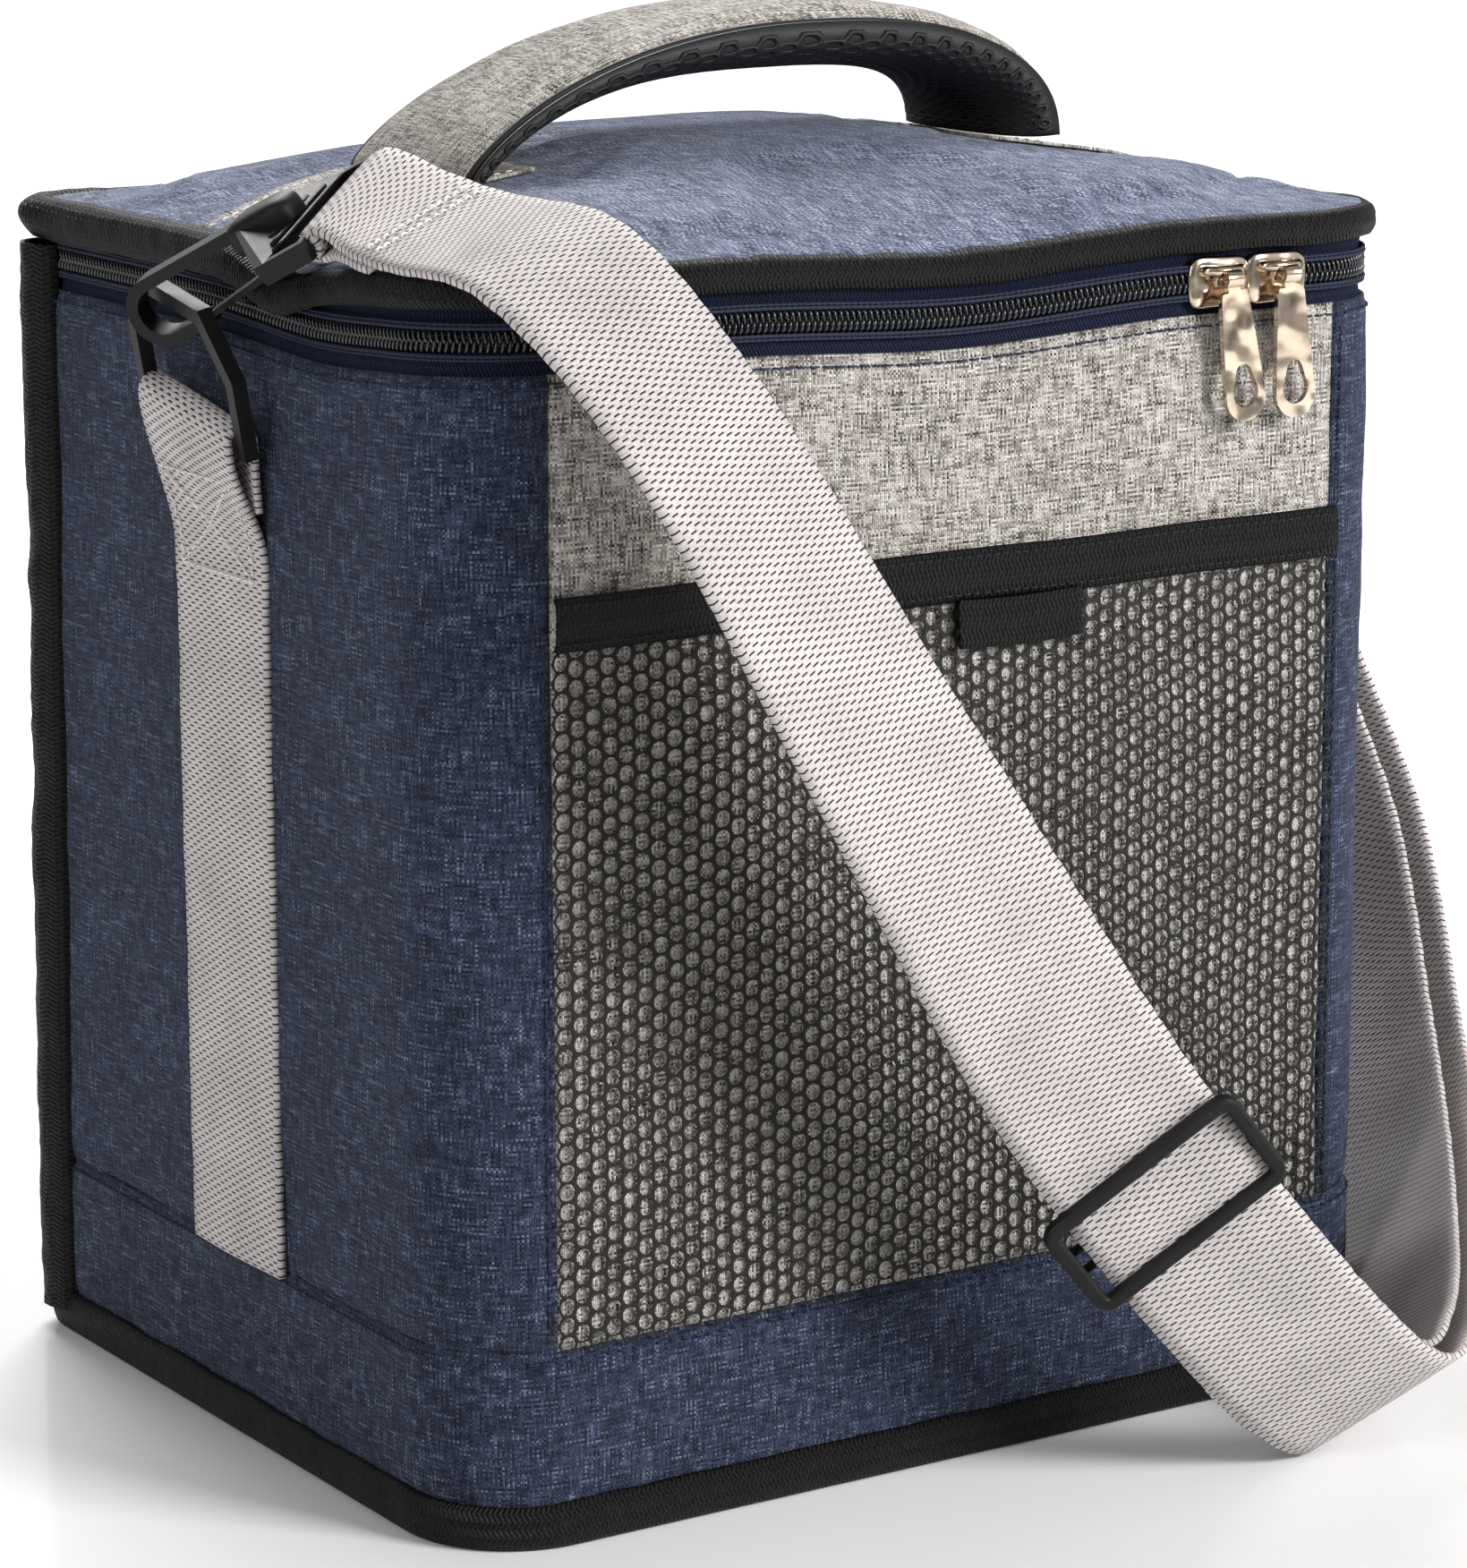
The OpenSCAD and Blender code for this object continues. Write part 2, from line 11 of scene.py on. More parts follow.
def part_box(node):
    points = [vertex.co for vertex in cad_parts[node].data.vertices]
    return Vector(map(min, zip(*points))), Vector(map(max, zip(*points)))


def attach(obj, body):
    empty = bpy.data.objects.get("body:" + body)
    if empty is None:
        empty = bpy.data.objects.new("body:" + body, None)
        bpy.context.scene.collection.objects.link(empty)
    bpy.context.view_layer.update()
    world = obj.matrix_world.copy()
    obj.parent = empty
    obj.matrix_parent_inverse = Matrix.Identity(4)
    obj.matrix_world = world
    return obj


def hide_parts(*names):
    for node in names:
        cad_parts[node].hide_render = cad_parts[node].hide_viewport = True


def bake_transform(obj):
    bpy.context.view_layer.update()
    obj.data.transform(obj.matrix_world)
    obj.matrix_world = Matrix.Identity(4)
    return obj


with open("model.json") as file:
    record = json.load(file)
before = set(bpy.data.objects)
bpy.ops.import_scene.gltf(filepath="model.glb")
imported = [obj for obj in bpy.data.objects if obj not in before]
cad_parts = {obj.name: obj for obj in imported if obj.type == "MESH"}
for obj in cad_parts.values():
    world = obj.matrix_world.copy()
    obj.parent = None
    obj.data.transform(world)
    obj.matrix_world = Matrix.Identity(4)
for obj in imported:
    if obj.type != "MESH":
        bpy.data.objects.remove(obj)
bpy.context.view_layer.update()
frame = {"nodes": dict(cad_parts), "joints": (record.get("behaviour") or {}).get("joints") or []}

random.seed(7)

MM = 0.001


# ---- sizes, most of them taken from the frame ----

HALF_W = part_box("base_band")[1].x
HALF_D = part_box("base_band")[1].y
FRONT_R = 25 * MM                           # plan radius of the front corners
BACK_R = 7 * MM                             # plan radius of the bound back corners
BAND_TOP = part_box("base_band")[1].z
BASE_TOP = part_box("base_binding")[1].z
WALL_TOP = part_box("front_panel")[1].z
PANEL_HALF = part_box("front_panel")[1].x
CHAIN_Z = (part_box("lower_zip_coil")[1].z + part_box("upper_zip_coil")[0].z) / 2
LID_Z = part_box("lid_binding")[1].z - 0.2 * MM
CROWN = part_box("lid_panel")[1].z - LID_Z
BIND_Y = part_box("side_panel_right")[1].y    # the side walls end here, under the back bindings
ZIP_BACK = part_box("lower_zip_coil")[1].y
POCKET_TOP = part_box("pocket_band")[1].z
POCKET_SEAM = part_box("pocket_band")[0].z
CLOTH = 1.1 * MM                            # thickness of the walls' and the lid's cloth
WEB_HALF = 19.8 * MM                        # half the width of the strap's webbing
WEB_T = 1.5 * MM                            # its thickness
LOOP = 3.3 * MM                             # webbing turned round a bar lies this far off its middle

JOINTS = {j["name"]: j for j in frame["joints"]}
SIDES = ((1, "right"), (-1, "left"))
UP = Vector((0, 0, 1))
FORWARDS = Vector((0, -1, 0))               # the way the bag's front faces


def joint_place(name):
    """A joint's point and unit axis."""
    joint = JOINTS[name]
    return Vector(joint["pos_m"]), Vector(joint["axis"]).normalized()


def box_middle(node):
    """The middle of a CAD part's box."""
    lo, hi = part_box(node)
    return (lo + hi) / 2


def smooth(lo, hi, value):
    """Rises smoothly from 0 at lo to 1 at hi; hi may be the smaller of the two."""
    t = min(max((value - lo) / (hi - lo), 0.0), 1.0)
    return t * t * (3 - 2 * t)


def bump(centre, width, value):
    """A rounded bump of height 1."""
    return math.exp(-(((value - centre) / width) ** 2))


def wobble(x, y, z, size):
    """Smooth noise between about -1 and 1 that changes over the given size."""
    return noise.noise(Vector((x, y, z)) / size)


def soft_power(value):
    """Fattens a cosine or sine, so that a circle becomes a rounded box."""
    return math.copysign(abs(value) ** 0.55, value)


# ---- the bag's plan ----

FRONT_RUN = HALF_W - FRONT_R
FRONT_BEND = FRONT_RUN + math.pi / 2 * FRONT_R
SIDE_RUN = FRONT_BEND + 2 * HALF_D - FRONT_R - BACK_R
BACK_BEND = SIDE_RUN + math.pi / 2 * BACK_R
HALF_ROUND = BACK_BEND + HALF_W - BACK_R


def plan(s, out=0.0):
    """Place in plan at a walk s from the middle of the front towards +X (or -X when negative),
    moved outwards by out. Gives x, y."""
    side, s = (1 if s >= 0 else -1), abs(s)
    if s <= FRONT_RUN:
        x, y, nx, ny = s, -HALF_D, 0.0, -1.0
    elif s <= FRONT_BEND:
        a = (s - FRONT_RUN) / FRONT_R - math.pi / 2
        nx, ny = math.cos(a), math.sin(a)
        x, y = HALF_W - FRONT_R + FRONT_R * nx, -HALF_D + FRONT_R + FRONT_R * ny
    elif s <= SIDE_RUN:
        x, y, nx, ny = HALF_W, -HALF_D + FRONT_R + s - FRONT_BEND, 1.0, 0.0
    elif s <= BACK_BEND:
        a = (s - SIDE_RUN) / BACK_R
        nx, ny = math.cos(a), math.sin(a)
        x, y = HALF_W - BACK_R + BACK_R * nx, HALF_D - BACK_R + BACK_R * ny
    else:
        x, y, nx, ny = HALF_W - BACK_R - (s - BACK_BEND), HALF_D, 0.0, 1.0
    return side * (x + nx * out), y + ny * out


def walk_to_y(y):
    """Walk from the front's middle to a place on the straight of the side."""
    return FRONT_BEND + y + HALF_D - FRONT_R


S_BIND = walk_to_y(BIND_Y)
S_ZIP = walk_to_y(ZIP_BACK)


def slump(x, y, z):
    """How far the soft top edges sink: in the middle of the front and under the left hook."""
    weight = smooth(WALL_TOP - 60 * MM, WALL_TOP, z)
    front = smooth(-HALF_D + 60 * MM, -HALF_D, y) * smooth(60 * MM, 0, abs(x))
    left = smooth(-HALF_W + 40 * MM, -HALF_W, x) * bump(-38 * MM, 30 * MM, y)
    return -weight * (2.4 * MM * front + 2.2 * MM * left)


def settle(x, y, z):
    """Where a place on the plain box goes on the soft bag: the edges sag and the foot leans back."""
    back = 5.5 * MM * smooth(20 * MM, HALF_D, y) * smooth(WALL_TOP, 0, z)
    return x, y + back, z + slump(x, y, z)


def round_trip(count):
    """Walks that go once round the bag, closed."""
    return [HALF_ROUND * (2 * k / count - 1) for k in range(count)]


def spread(lo, hi, step):
    """Evenly spaced values from lo to hi, about step apart."""
    count = max(int(round(abs(hi - lo) / step)), 1)
    return [lo + (hi - lo) * k / count for k in range(count + 1)]


# ---- meshes ----


def new_mesh(name, verts, faces, uvs=None):
    """A smooth-shaded mesh object; uvs holds one pair for each vertex, in metres."""
    mesh = bpy.data.meshes.new(name)
    mesh.from_pydata([tuple(v) for v in verts], [], faces)
    mesh.polygons.foreach_set("use_smooth", [True] * len(mesh.polygons))
    if uvs is not None:
        layer = mesh.uv_layers.new(name="UVMap")
        index = np.zeros(len(mesh.loops), np.int32)
        mesh.loops.foreach_get("vertex_index", index)
        layer.data.foreach_set("uv", np.array(uvs, np.float32)[index].ravel())
    mesh.update()
    obj = bpy.data.objects.new(name, mesh)
    bpy.context.scene.collection.objects.link(obj)
    return obj


def thicken(obj, thickness, offset=-1.0):
    """Real thickness, by default inwards from the outer face."""
    mod = obj.modifiers.new("thickness", "SOLIDIFY")
    mod.thickness = thickness
    mod.offset = offset
    mod.use_rim = True


def soften(obj, width):
    """Rounds the hard edges of a moulded or cast part."""
    mod = obj.modifiers.new("rounding", "BEVEL")
    mod.width = width
    mod.segments = 3
    mod.limit_method = "ANGLE"
    mod.angle_limit = math.radians(28)
    mod.harden_normals = True


def weld(obj, gap):
    """Joins points closer than the gap and turns every face's outside outwards."""
    work = bmesh.new()
    work.from_mesh(obj.data)
    bmesh.ops.remove_doubles(work, verts=work.verts, dist=gap)
    bmesh.ops.recalc_face_normals(work, faces=work.faces)
    work.to_mesh(obj.data)
    work.free()


def sheet(name, us, vs, point, closed=False, uv=None):
    """A grid of points; u runs along us and v along vs, and the outside is du x dv."""
    rows = [[Vector(point(u, v)) for v in vs] for u in us]
    verts = [p for row in rows for p in row]
    if uv is None:
        uvs = [(u, v) for u in us for v in vs]
    else:
        uvs = [uv(u, v, rows[i][j]) for i, u in enumerate(us) for j, v in enumerate(vs)]
    n, m = len(us), len(vs)
    faces = []
    for i in range(n if closed else n - 1):
        a, b = i * m, ((i + 1) % n) * m
        faces += [(a + j, b + j, b + j + 1, a + j + 1) for j in range(m - 1)]
    return new_mesh(name, verts, faces, uvs)


def tube_data(points, radius, sides, up=UP):
    """Vertices and faces of a closed-ended tube along points; radius is one value or a list."""
    pts = [Vector(p) for p in points]
    verts, faces = [], []
    for i, p in enumerate(pts):
        t = (pts[min(i + 1, len(pts) - 1)] - pts[max(i - 1, 0)]).normalized()
        side = t.cross(up)
        if side.length < 1e-4:
            side = t.cross(Vector((1, 0, 0)))
        side.normalize()
        lift = side.cross(t)
        r = radius[i] if isinstance(radius, list) else radius
        for k in range(sides):
            a = 2 * math.pi * k / sides
            verts.append(p + side * (math.cos(a) * r) + lift * (math.sin(a) * r))
    for i in range(len(pts) - 1):
        for k in range(sides):
            a, b = i * sides + k, i * sides + (k + 1) % sides
            faces.append((a, b, b + sides, a + sides))
    faces.append(tuple(reversed(range(sides))))
    last = (len(pts) - 1) * sides
    faces.append(tuple(last + k for k in range(sides)))
    return verts, faces


def merged(name, parts):
    """One mesh object out of several (vertices, faces) pairs."""
    verts, faces = [], []
    for part_verts, part_faces in parts:
        base = len(verts)
        verts += part_verts
        faces += [tuple(base + i for i in f) for f in part_faces]
    return new_mesh(name, verts, faces)


def stitch_row(points, outward, pitch, length, radius):
    """Thread along a polyline: one small arched tube for each stitch. outward lifts it off the cloth:
    a direction, or a function that gives one for a place."""
    pts = [Vector(p) for p in points]
    walks = [0.0]
    for a, b in zip(pts, pts[1:]):
        walks.append(walks[-1] + (b - a).length)

    def at(walk):
        for i in range(len(pts) - 1):
            if walk <= walks[i + 1] or i == len(pts) - 2:
                span = max(walks[i + 1] - walks[i], 1e-9)
                return pts[i].lerp(pts[i + 1], (walk - walks[i]) / span)

    parts = []
    for k in range(int((walks[-1] - length) / pitch) + 1):
        start = k * pitch + random.uniform(-0.1, 0.1) * pitch
        arc = []
        for j in range(5):
            t = j / 4
            p = at(min(max(start + t * length, 0.0), walks[-1]))
            n = outward(p) if callable(outward) else outward
            arc.append(p + n * (radius * (2.2 * math.sin(math.pi * t) - 1.0)))
        parts.append(tube_data(arc, radius, 6))
    return parts


# ---- materials ----


class Nodes:
    """Short calls for building a material's node tree."""

    def __init__(self, name):
        self.material = bpy.data.materials.new(name)
        self.material.use_nodes = True
        self.tree = self.material.node_tree
        self.shader = self.tree.nodes["Principled BSDF"]

    def node(self, kind, **values):
        made = self.tree.nodes.new(kind)
        for key, value in values.items():
            setattr(made, key, value)
        return made

    def put(self, socket, value):
        if isinstance(value, bpy.types.NodeSocket):
            self.tree.links.new(value, socket)
        else:
            socket.default_value = value

    def math(self, operation, a, b=0.0):
        made = self.node("ShaderNodeMath", operation=operation)
        for socket, value in zip(made.inputs, (a, b)):
            self.put(socket, value)
        return made.outputs[0]

    def plus(self, a, b):
        return self.math("ADD", a, b)

    def minus(self, a, b):
        return self.math("SUBTRACT", a, b)

    def times(self, a, b):
        return self.math("MULTIPLY", a, b)

    def over(self, a, b):
        return self.math("DIVIDE", a, b)

    def uv(self):
        split = self.node("ShaderNodeSeparateXYZ")
        self.put(split.inputs[0], self.node("ShaderNodeUVMap", uv_map="UVMap").outputs[0])
        return split.outputs[0], split.outputs[1]

    def spot(self):
        return self.node("ShaderNodeTexCoord").outputs["Object"]

    def join(self, x, y, z=0.0):
        made = self.node("ShaderNodeCombineXYZ")
        for socket, value in zip(made.inputs, (x, y, z)):
            self.put(socket, value)
        return made.outputs[0]

    def noise(self, vector, scale, detail=2.0, rough=0.5):
        made = self.node("ShaderNodeTexNoise")
        self.put(made.inputs["Vector"], vector)
        self.put(made.inputs["Scale"], scale)
        self.put(made.inputs["Detail"], detail)
        self.put(made.inputs["Roughness"], rough)
        return made.outputs[0]

    def ramp(self, factor, stops):
        made = self.node("ShaderNodeValToRGB")
        self.put(made.inputs[0], factor)
        elements = made.color_ramp.elements
        while len(elements) < len(stops):
            elements.new(0.5)
        for element, (place, colour) in zip(elements, stops):
            element.position = place
            element.color = (*colour, 1.0)
        return made.outputs[0]

    def solid(self, colour):
        """Adds full alpha to a plain colour, and leaves a socket alone."""
        return (*colour, 1.0) if isinstance(colour, tuple) else colour

    def mix(self, factor, a, b, blend="MIX"):
        made = self.node("ShaderNodeMix", data_type="RGBA", blend_type=blend)
        self.put(made.inputs[0], factor)
        self.put(made.inputs[6], self.solid(a))
        self.put(made.inputs[7], self.solid(b))
        return made.outputs[2]

    def relief(self, height, depth, below=None):
        made = self.node("ShaderNodeBump")
        self.put(made.inputs["Height"], height)
        self.put(made.inputs["Distance"], depth)
        self.put(made.inputs["Strength"], 1.0)
        if below is not None:
            self.put(made.inputs["Normal"], below)
        return made.outputs[0]

    def done(self, colour, rough, normal=None, metal=0.0, sheen=0.0, specular=0.5):
        self.put(self.shader.inputs["Base Color"], self.solid(colour))
        self.put(self.shader.inputs["Roughness"], rough)
        self.put(self.shader.inputs["Metallic"], metal)
        self.put(self.shader.inputs["Sheen Weight"], sheen)
        self.put(self.shader.inputs["Sheen Roughness"], 0.4)
        self.put(self.shader.inputs["Specular IOR Level"], specular)
        if normal is not None:
            self.put(self.shader.inputs["Normal"], normal)
        return self.material


THREAD = 0.50 * MM                          # width of one thread of the heathered cloth
THREAD_DEPTH = 0.26 * MM


def plain_weave(name, stops, sheen, slub, twill=False):
    """Heathered cloth: every thread takes its own colour, slubs run along the threads, and painted shade
    darkens each thread towards its edges.
    """
    n = Nodes(name)
    u, v = n.uv()
    a, b = n.over(u, THREAD), n.over(v, THREAD)
    if twill:
        b = n.plus(b, n.times(a, 0.5))
    warp = n.noise(n.join(n.math("FLOOR", a), n.times(b, 0.09)), 0.83, 2.0, 0.7)
    weft = n.noise(n.join(n.times(a, 0.09), n.math("FLOOR", b), 7.3), 0.83, 2.0, 0.7)
    parity = n.math("MODULO", n.plus(n.math("FLOOR", a), n.math("FLOOR", b)), 2.0)
    on_top = n.math("GREATER_THAN", n.math("ABSOLUTE", parity), 0.5)
    pick = n.node("ShaderNodeMix")
    n.put(pick.inputs[0], on_top)
    n.put(pick.inputs[2], warp)
    n.put(pick.inputs[3], weft)
    tone = pick.outputs[0]
    cloud = n.noise(n.join(u, v), 45.0, 3.0)
    tone = n.plus(tone, n.times(n.minus(cloud, 0.5), slub * 0.5))
    colour = n.ramp(tone, stops)
    # painted shade: each thread's colour is darkened towards its edges, where the threads dip under one
    # another
    across = n.math("PINGPONG", a, 0.5)
    along = n.math("PINGPONG", b, 0.5)
    height = n.times(n.times(across, along), 4.0)
    shade = n.plus(n.times(height, 0.45), 0.62)
    colour = n.mix(1.0, colour, n.join(shade, shade, shade), "MULTIPLY")
    fuzz = n.noise(n.join(a, b), 1.7, 2.0)
    crumple = n.relief(n.noise(n.join(u, v), 70.0, 3.0), 0.5 * MM)
    normal = n.relief(n.plus(height, n.times(fuzz, 0.5)), THREAD_DEPTH, crumple)
    return n.done(colour, 0.85, normal, sheen=sheen, specular=0.25)


def woven_tape(name, light, gap_shade, row, dash, depth, lean, row_fill, dash_fill, rough=0.8, specular=0.2):
    """Woven tape: rows of short gaps between the yarns, laid like bricks and filled with painted shade. With
    a lean the rows slant one way and then the other, as in a herringbone."""
    n = Nodes(name)
    u, v = n.uv()
    b = n.over(v, dash)
    slant = n.times(n.math("PINGPONG", b, 1.0), lean)
    a = n.plus(n.over(u, row), slant)
    shift = n.times(n.math("PINGPONG", n.math("FLOOR", a), 1.0), 0.5)
    in_row = n.math("PINGPONG", a, 0.5)
    in_dash = n.math("PINGPONG", n.plus(b, shift), 0.5)
    is_row = n.times(n.minus(in_row, 0.5 - row_fill / 2), 14.0)
    is_dash = n.times(n.minus(in_dash, 0.5 - dash_fill / 2), 14.0)
    clamp = n.node("ShaderNodeClamp")
    n.put(clamp.inputs[0], n.math("MINIMUM", is_row, is_dash))
    mark = clamp.outputs[0]
    cloud = n.noise(n.join(u, v), 60.0, 3.0)
    fibre = n.noise(n.join(n.times(u, 5200.0), n.times(v, 1500.0)), 0.6, 2.0)
    yarn = n.plus(n.times(cloud, 0.4), n.times(fibre, 0.6))
    tone = n.ramp(yarn, [(0.3, tuple(0.62 * c for c in light)), (0.65, light)])
    # painted shade: the gaps between the yarns are coloured near-black, as the shade that falls into them
    colour = n.mix(mark, tone, gap_shade)
    rib = n.math("PINGPONG", n.plus(a, 0.5), 0.5)
    height = n.minus(n.times(rib, 0.8), n.times(mark, 1.2))
    height = n.plus(height, n.times(fibre, 0.35))
    return n.done(colour, rough, n.relief(height, depth), specular=specular)


def moulded(name, colour, rough, grain=900.0, depth=0.02 * MM, specular=0.3):
    """Satin plastic with a fine spark-eroded grain and slight wear in its gloss."""
    n = Nodes(name)
    spot = n.spot()
    fine = n.noise(spot, grain, 2.0)
    wear = n.noise(spot, 120.0, 3.0)
    gloss = n.plus(n.times(wear, 0.22), rough - 0.1)
    tone = n.ramp(wear, [(0.3, colour), (0.75, tuple(c * 1.35 + 0.002 for c in colour))])
    return n.done(tone, gloss, n.relief(fine, depth), specular=specular)


def plated(name, colour):
    """Pale plated metal with faint handling marks."""
    n = Nodes(name)
    spot = n.spot()
    marks = n.noise(spot, 260.0, 4.0, 0.6)
    rough = n.plus(n.times(marks, 0.2), 0.04)
    tone = n.ramp(marks, [(0.3, colour), (0.7, tuple(c * 0.8 for c in colour))])
    uneven = n.relief(n.noise(spot, 130.0, 1.0), 0.9 * MM)
    return n.done(tone, rough, n.relief(marks, 0.02 * MM, uneven), metal=1.0)


def foil():
    """Crinkled foil-faced film."""
    n = Nodes("foil")
    spot = n.spot()
    creases = n.node("ShaderNodeTexVoronoi", feature="DISTANCE_TO_EDGE")
    n.put(creases.inputs["Vector"], spot)
    n.put(creases.inputs["Scale"], 55.0)
    n.put(creases.inputs["Randomness"], 1.0)
    height = n.math("MINIMUM", creases.outputs["Distance"], 0.08)
    below = n.relief(n.noise(spot, 90.0, 5.0, 0.65), 2.0 * MM)
    tone = n.ramp(n.noise(spot, 90.0, 3.0), [(0.3, (0.42, 0.43, 0.45)), (0.7, (0.56, 0.57, 0.59))])
    return n.done(tone, 0.42, n.relief(height, 1.0 * MM, below), metal=0.85)


def foamy():
    """Closed-cell foam."""
    n = Nodes("foam")
    spot = n.spot()
    cells = n.node("ShaderNodeTexVoronoi")
    n.put(cells.inputs["Vector"], spot)
    n.put(cells.inputs["Scale"], 900.0)
    tone = n.ramp(n.noise(spot, 60.0, 2.0), [(0.3, (0.74, 0.74, 0.72)), (0.7, (0.84, 0.84, 0.82))])
    return n.done(tone, 0.85, n.relief(cells.outputs["Distance"], 0.2 * MM), specular=0.2)


NAVY = plain_weave(
    "navy_heather",
    [(0.34, (0.004, 0.006, 0.014)), (0.47, (0.022, 0.031, 0.066)), (0.58, (0.060, 0.078, 0.145)),
     (0.72, (0.24, 0.29, 0.42))],
    sheen=0.04, slub=0.2)
# The lid's navy cloth, woven as a twill, as a much lighter copy of the walls' navy: its pale stops are
# painted highlight where the light above falls on the lid's top.
NAVY_LID_LIT = plain_weave(
    "navy_heather_lid_lit",
    [(0.34, (0.015, 0.020, 0.045)), (0.46, (0.11, 0.135, 0.23)), (0.57, (0.30, 0.34, 0.49)),
     (0.72, (0.72, 0.78, 0.92))],
    sheen=0.12, slub=0.3, twill=True)
GREY = plain_weave(
    "grey_melange",
    [(0.33, (0.036, 0.031, 0.026)), (0.44, (0.28, 0.255, 0.225)), (0.55, (0.66, 0.615, 0.565)),
     (0.70, (1.0, 0.96, 0.91))],
    sheen=0.03, slub=0.3)
# In each tape below, the second colour is painted shade for the gaps between its yarns.
WEBBING = woven_tape(
    "grey_webbing", (0.66, 0.61, 0.605), (0.035, 0.03, 0.028), row=0.92 * MM, dash=3.5 * MM,
    depth=0.36 * MM, lean=0.0, row_fill=0.42, dash_fill=0.52)
BINDING = woven_tape(
    "black_binding", (0.011, 0.011, 0.0115), (0.0004, 0.0004, 0.0004), row=1.05 * MM, dash=2.4 * MM,
    depth=1.2 * MM, lean=0.9, row_fill=0.6, dash_fill=0.75, rough=0.55)
ZIP_TAPE = woven_tape(
    "zip_tape", (0.011, 0.015, 0.040), (0.0012, 0.0018, 0.005), row=0.85 * MM, dash=3.0 * MM,
    depth=0.3 * MM, lean=1.6, row_fill=0.45, dash_fill=0.9, specular=0.12)
COIL = moulded("nylon_coil", (0.010, 0.010, 0.013), 0.2, specular=0.7)
ZIP_CORD = moulded("zip_cord", (0.008, 0.011, 0.028), 0.7, 3000.0, 0.06 * MM)
NET = moulded("net_yarn", (0.004, 0.004, 0.004), 0.6, 2500.0, 0.05 * MM)
SPACER = moulded("spacer_mesh", (0.007, 0.007, 0.008), 0.55, 1800.0, 0.08 * MM)
PLASTIC = moulded("black_plastic", (0.006, 0.006, 0.0065), 0.5, specular=0.2)
METAL = plated("champagne_plate", (0.66, 0.54, 0.42))
FOIL = foil()
FOAM = foamy()
NAVY_THREAD = moulded("navy_thread", (0.014, 0.021, 0.05), 0.7, 3000.0, 0.05 * MM)
BLACK_THREAD = moulded("black_thread", (0.008, 0.008, 0.009), 0.6, 3000.0, 0.05 * MM)
GREY_THREAD = moulded("grey_thread", (0.62, 0.60, 0.57), 0.75, 3000.0, 0.05 * MM)

SLOTS = {
    NAVY: "navy_fabric", NAVY_LID_LIT: "navy_fabric", NAVY_THREAD: "navy_fabric", GREY: "grey_fabric",
    WEBBING: "webbing", GREY_THREAD: "webbing", BINDING: "black_binding", BLACK_THREAD: "black_binding",
    ZIP_TAPE: "zip_tape", COIL: "zip_tape", ZIP_CORD: "zip_tape", NET: "net", SPACER: "net",
    PLASTIC: "plastic", METAL: "metal", FOIL: "foil",
}


# ---- pieces ----


def finish_piece(obj, material, body, nodes=(), slot=None):
    """Gives a piece its material and body, and lets it stand for CAD nodes; slot is not used. A piece without
    a body has its place baked in by the caller."""
    obj.data.materials.append(material)
    if body:
        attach(obj, body)
    slot or SLOTS[material]
    if nodes:
        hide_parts(*nodes)
    return obj


def sewn(name, us, vs, point, thickness, material, body, nodes=(), closed=False, uv=None):
    """A sheet with real thickness, as a finished piece."""
    piece = sheet(name, us, vs, point, closed, uv)
    thicken(piece, thickness)
    return finish_piece(piece, material, body, nodes)


def stitches(name, paths, outward, material, body, pitch=3.0 * MM, length=2.2 * MM, radius=0.28 * MM,
             slot=None):
    """Rows of stitches along paths, as a finished piece."""
    rows = []
    for path in paths:
        rows += stitch_row(path, outward, pitch, length, radius)
    return finish_piece(merged(name, rows), material, body, slot=slot)


# ---- walls ----

SEAM_ROLL = 0.8 * MM                        # cloth turns in this far at a seam
SEAM_SOFT = 2.2 * MM                        # and starts to turn this far from it


def wall_point(s, z, edge, swell, seed):
    """A place on the wall's cloth: it bulges a little, ripples near its seams and turns in at them."""
    ripple = 0.45 * MM * wobble(s, z, seed, 26 * MM) + 0.16 * MM * wobble(s, z, seed + 5, 7 * MM)
    pucker = 0.25 * MM * wobble(s, z * 0.3, seed + 9, 3.5 * MM) * math.exp(-edge / (5 * MM))
    out = swell * smooth(0, 50 * MM, edge) + ripple + pucker
    out -= SEAM_ROLL * math.exp(-((edge / SEAM_SOFT) ** 2))
    return settle(*plan(s, out), z)


def wall_cloth(name, s0, s1, material, node, swell, seed):
    """A sewn panel of the wall between two walks, from the base seam to the wall's top."""

    def point(s, z):
        edge = min(s - s0, s1 - s, z - BAND_TOP, WALL_TOP - z)
        return wall_point(s, z, edge, swell, seed)

    walks, heights = spread(s0, s1, 2.4 * MM), spread(BAND_TOP, WALL_TOP, 2.4 * MM)
    sewn(name, walks, heights, point, CLOTH, material, "bag", [node])


def make_back_wall():
    half = HALF_W - 9 * MM

    def point(x, z):
        edge = min(x + half, half - x, z - BAND_TOP, WALL_TOP - z)
        walk = HALF_ROUND - x if x > 0 else -HALF_ROUND - x
        return wall_point(walk, z, edge, 1.0 * MM, 4.0)

    xs, heights = spread(half, -half, 3 * MM), spread(BAND_TOP, WALL_TOP, 3 * MM)
    sewn("back_cloth", xs, heights, point, CLOTH, NAVY, "bag", ["back_panel"])


def make_base_band():
    def point(s, z):
        edge = min(z - BASE_TOP, BAND_TOP - z) + 0.3 * MM
        return wall_point(s, z, edge, 0.5 * MM, 6.0)

    heights = spread(BASE_TOP - 1 * MM, BAND_TOP, 2.3 * MM)
    sewn("base_band_cloth", round_trip(340), heights, point, CLOTH, NAVY, "bag", ["base_band"], closed=True)


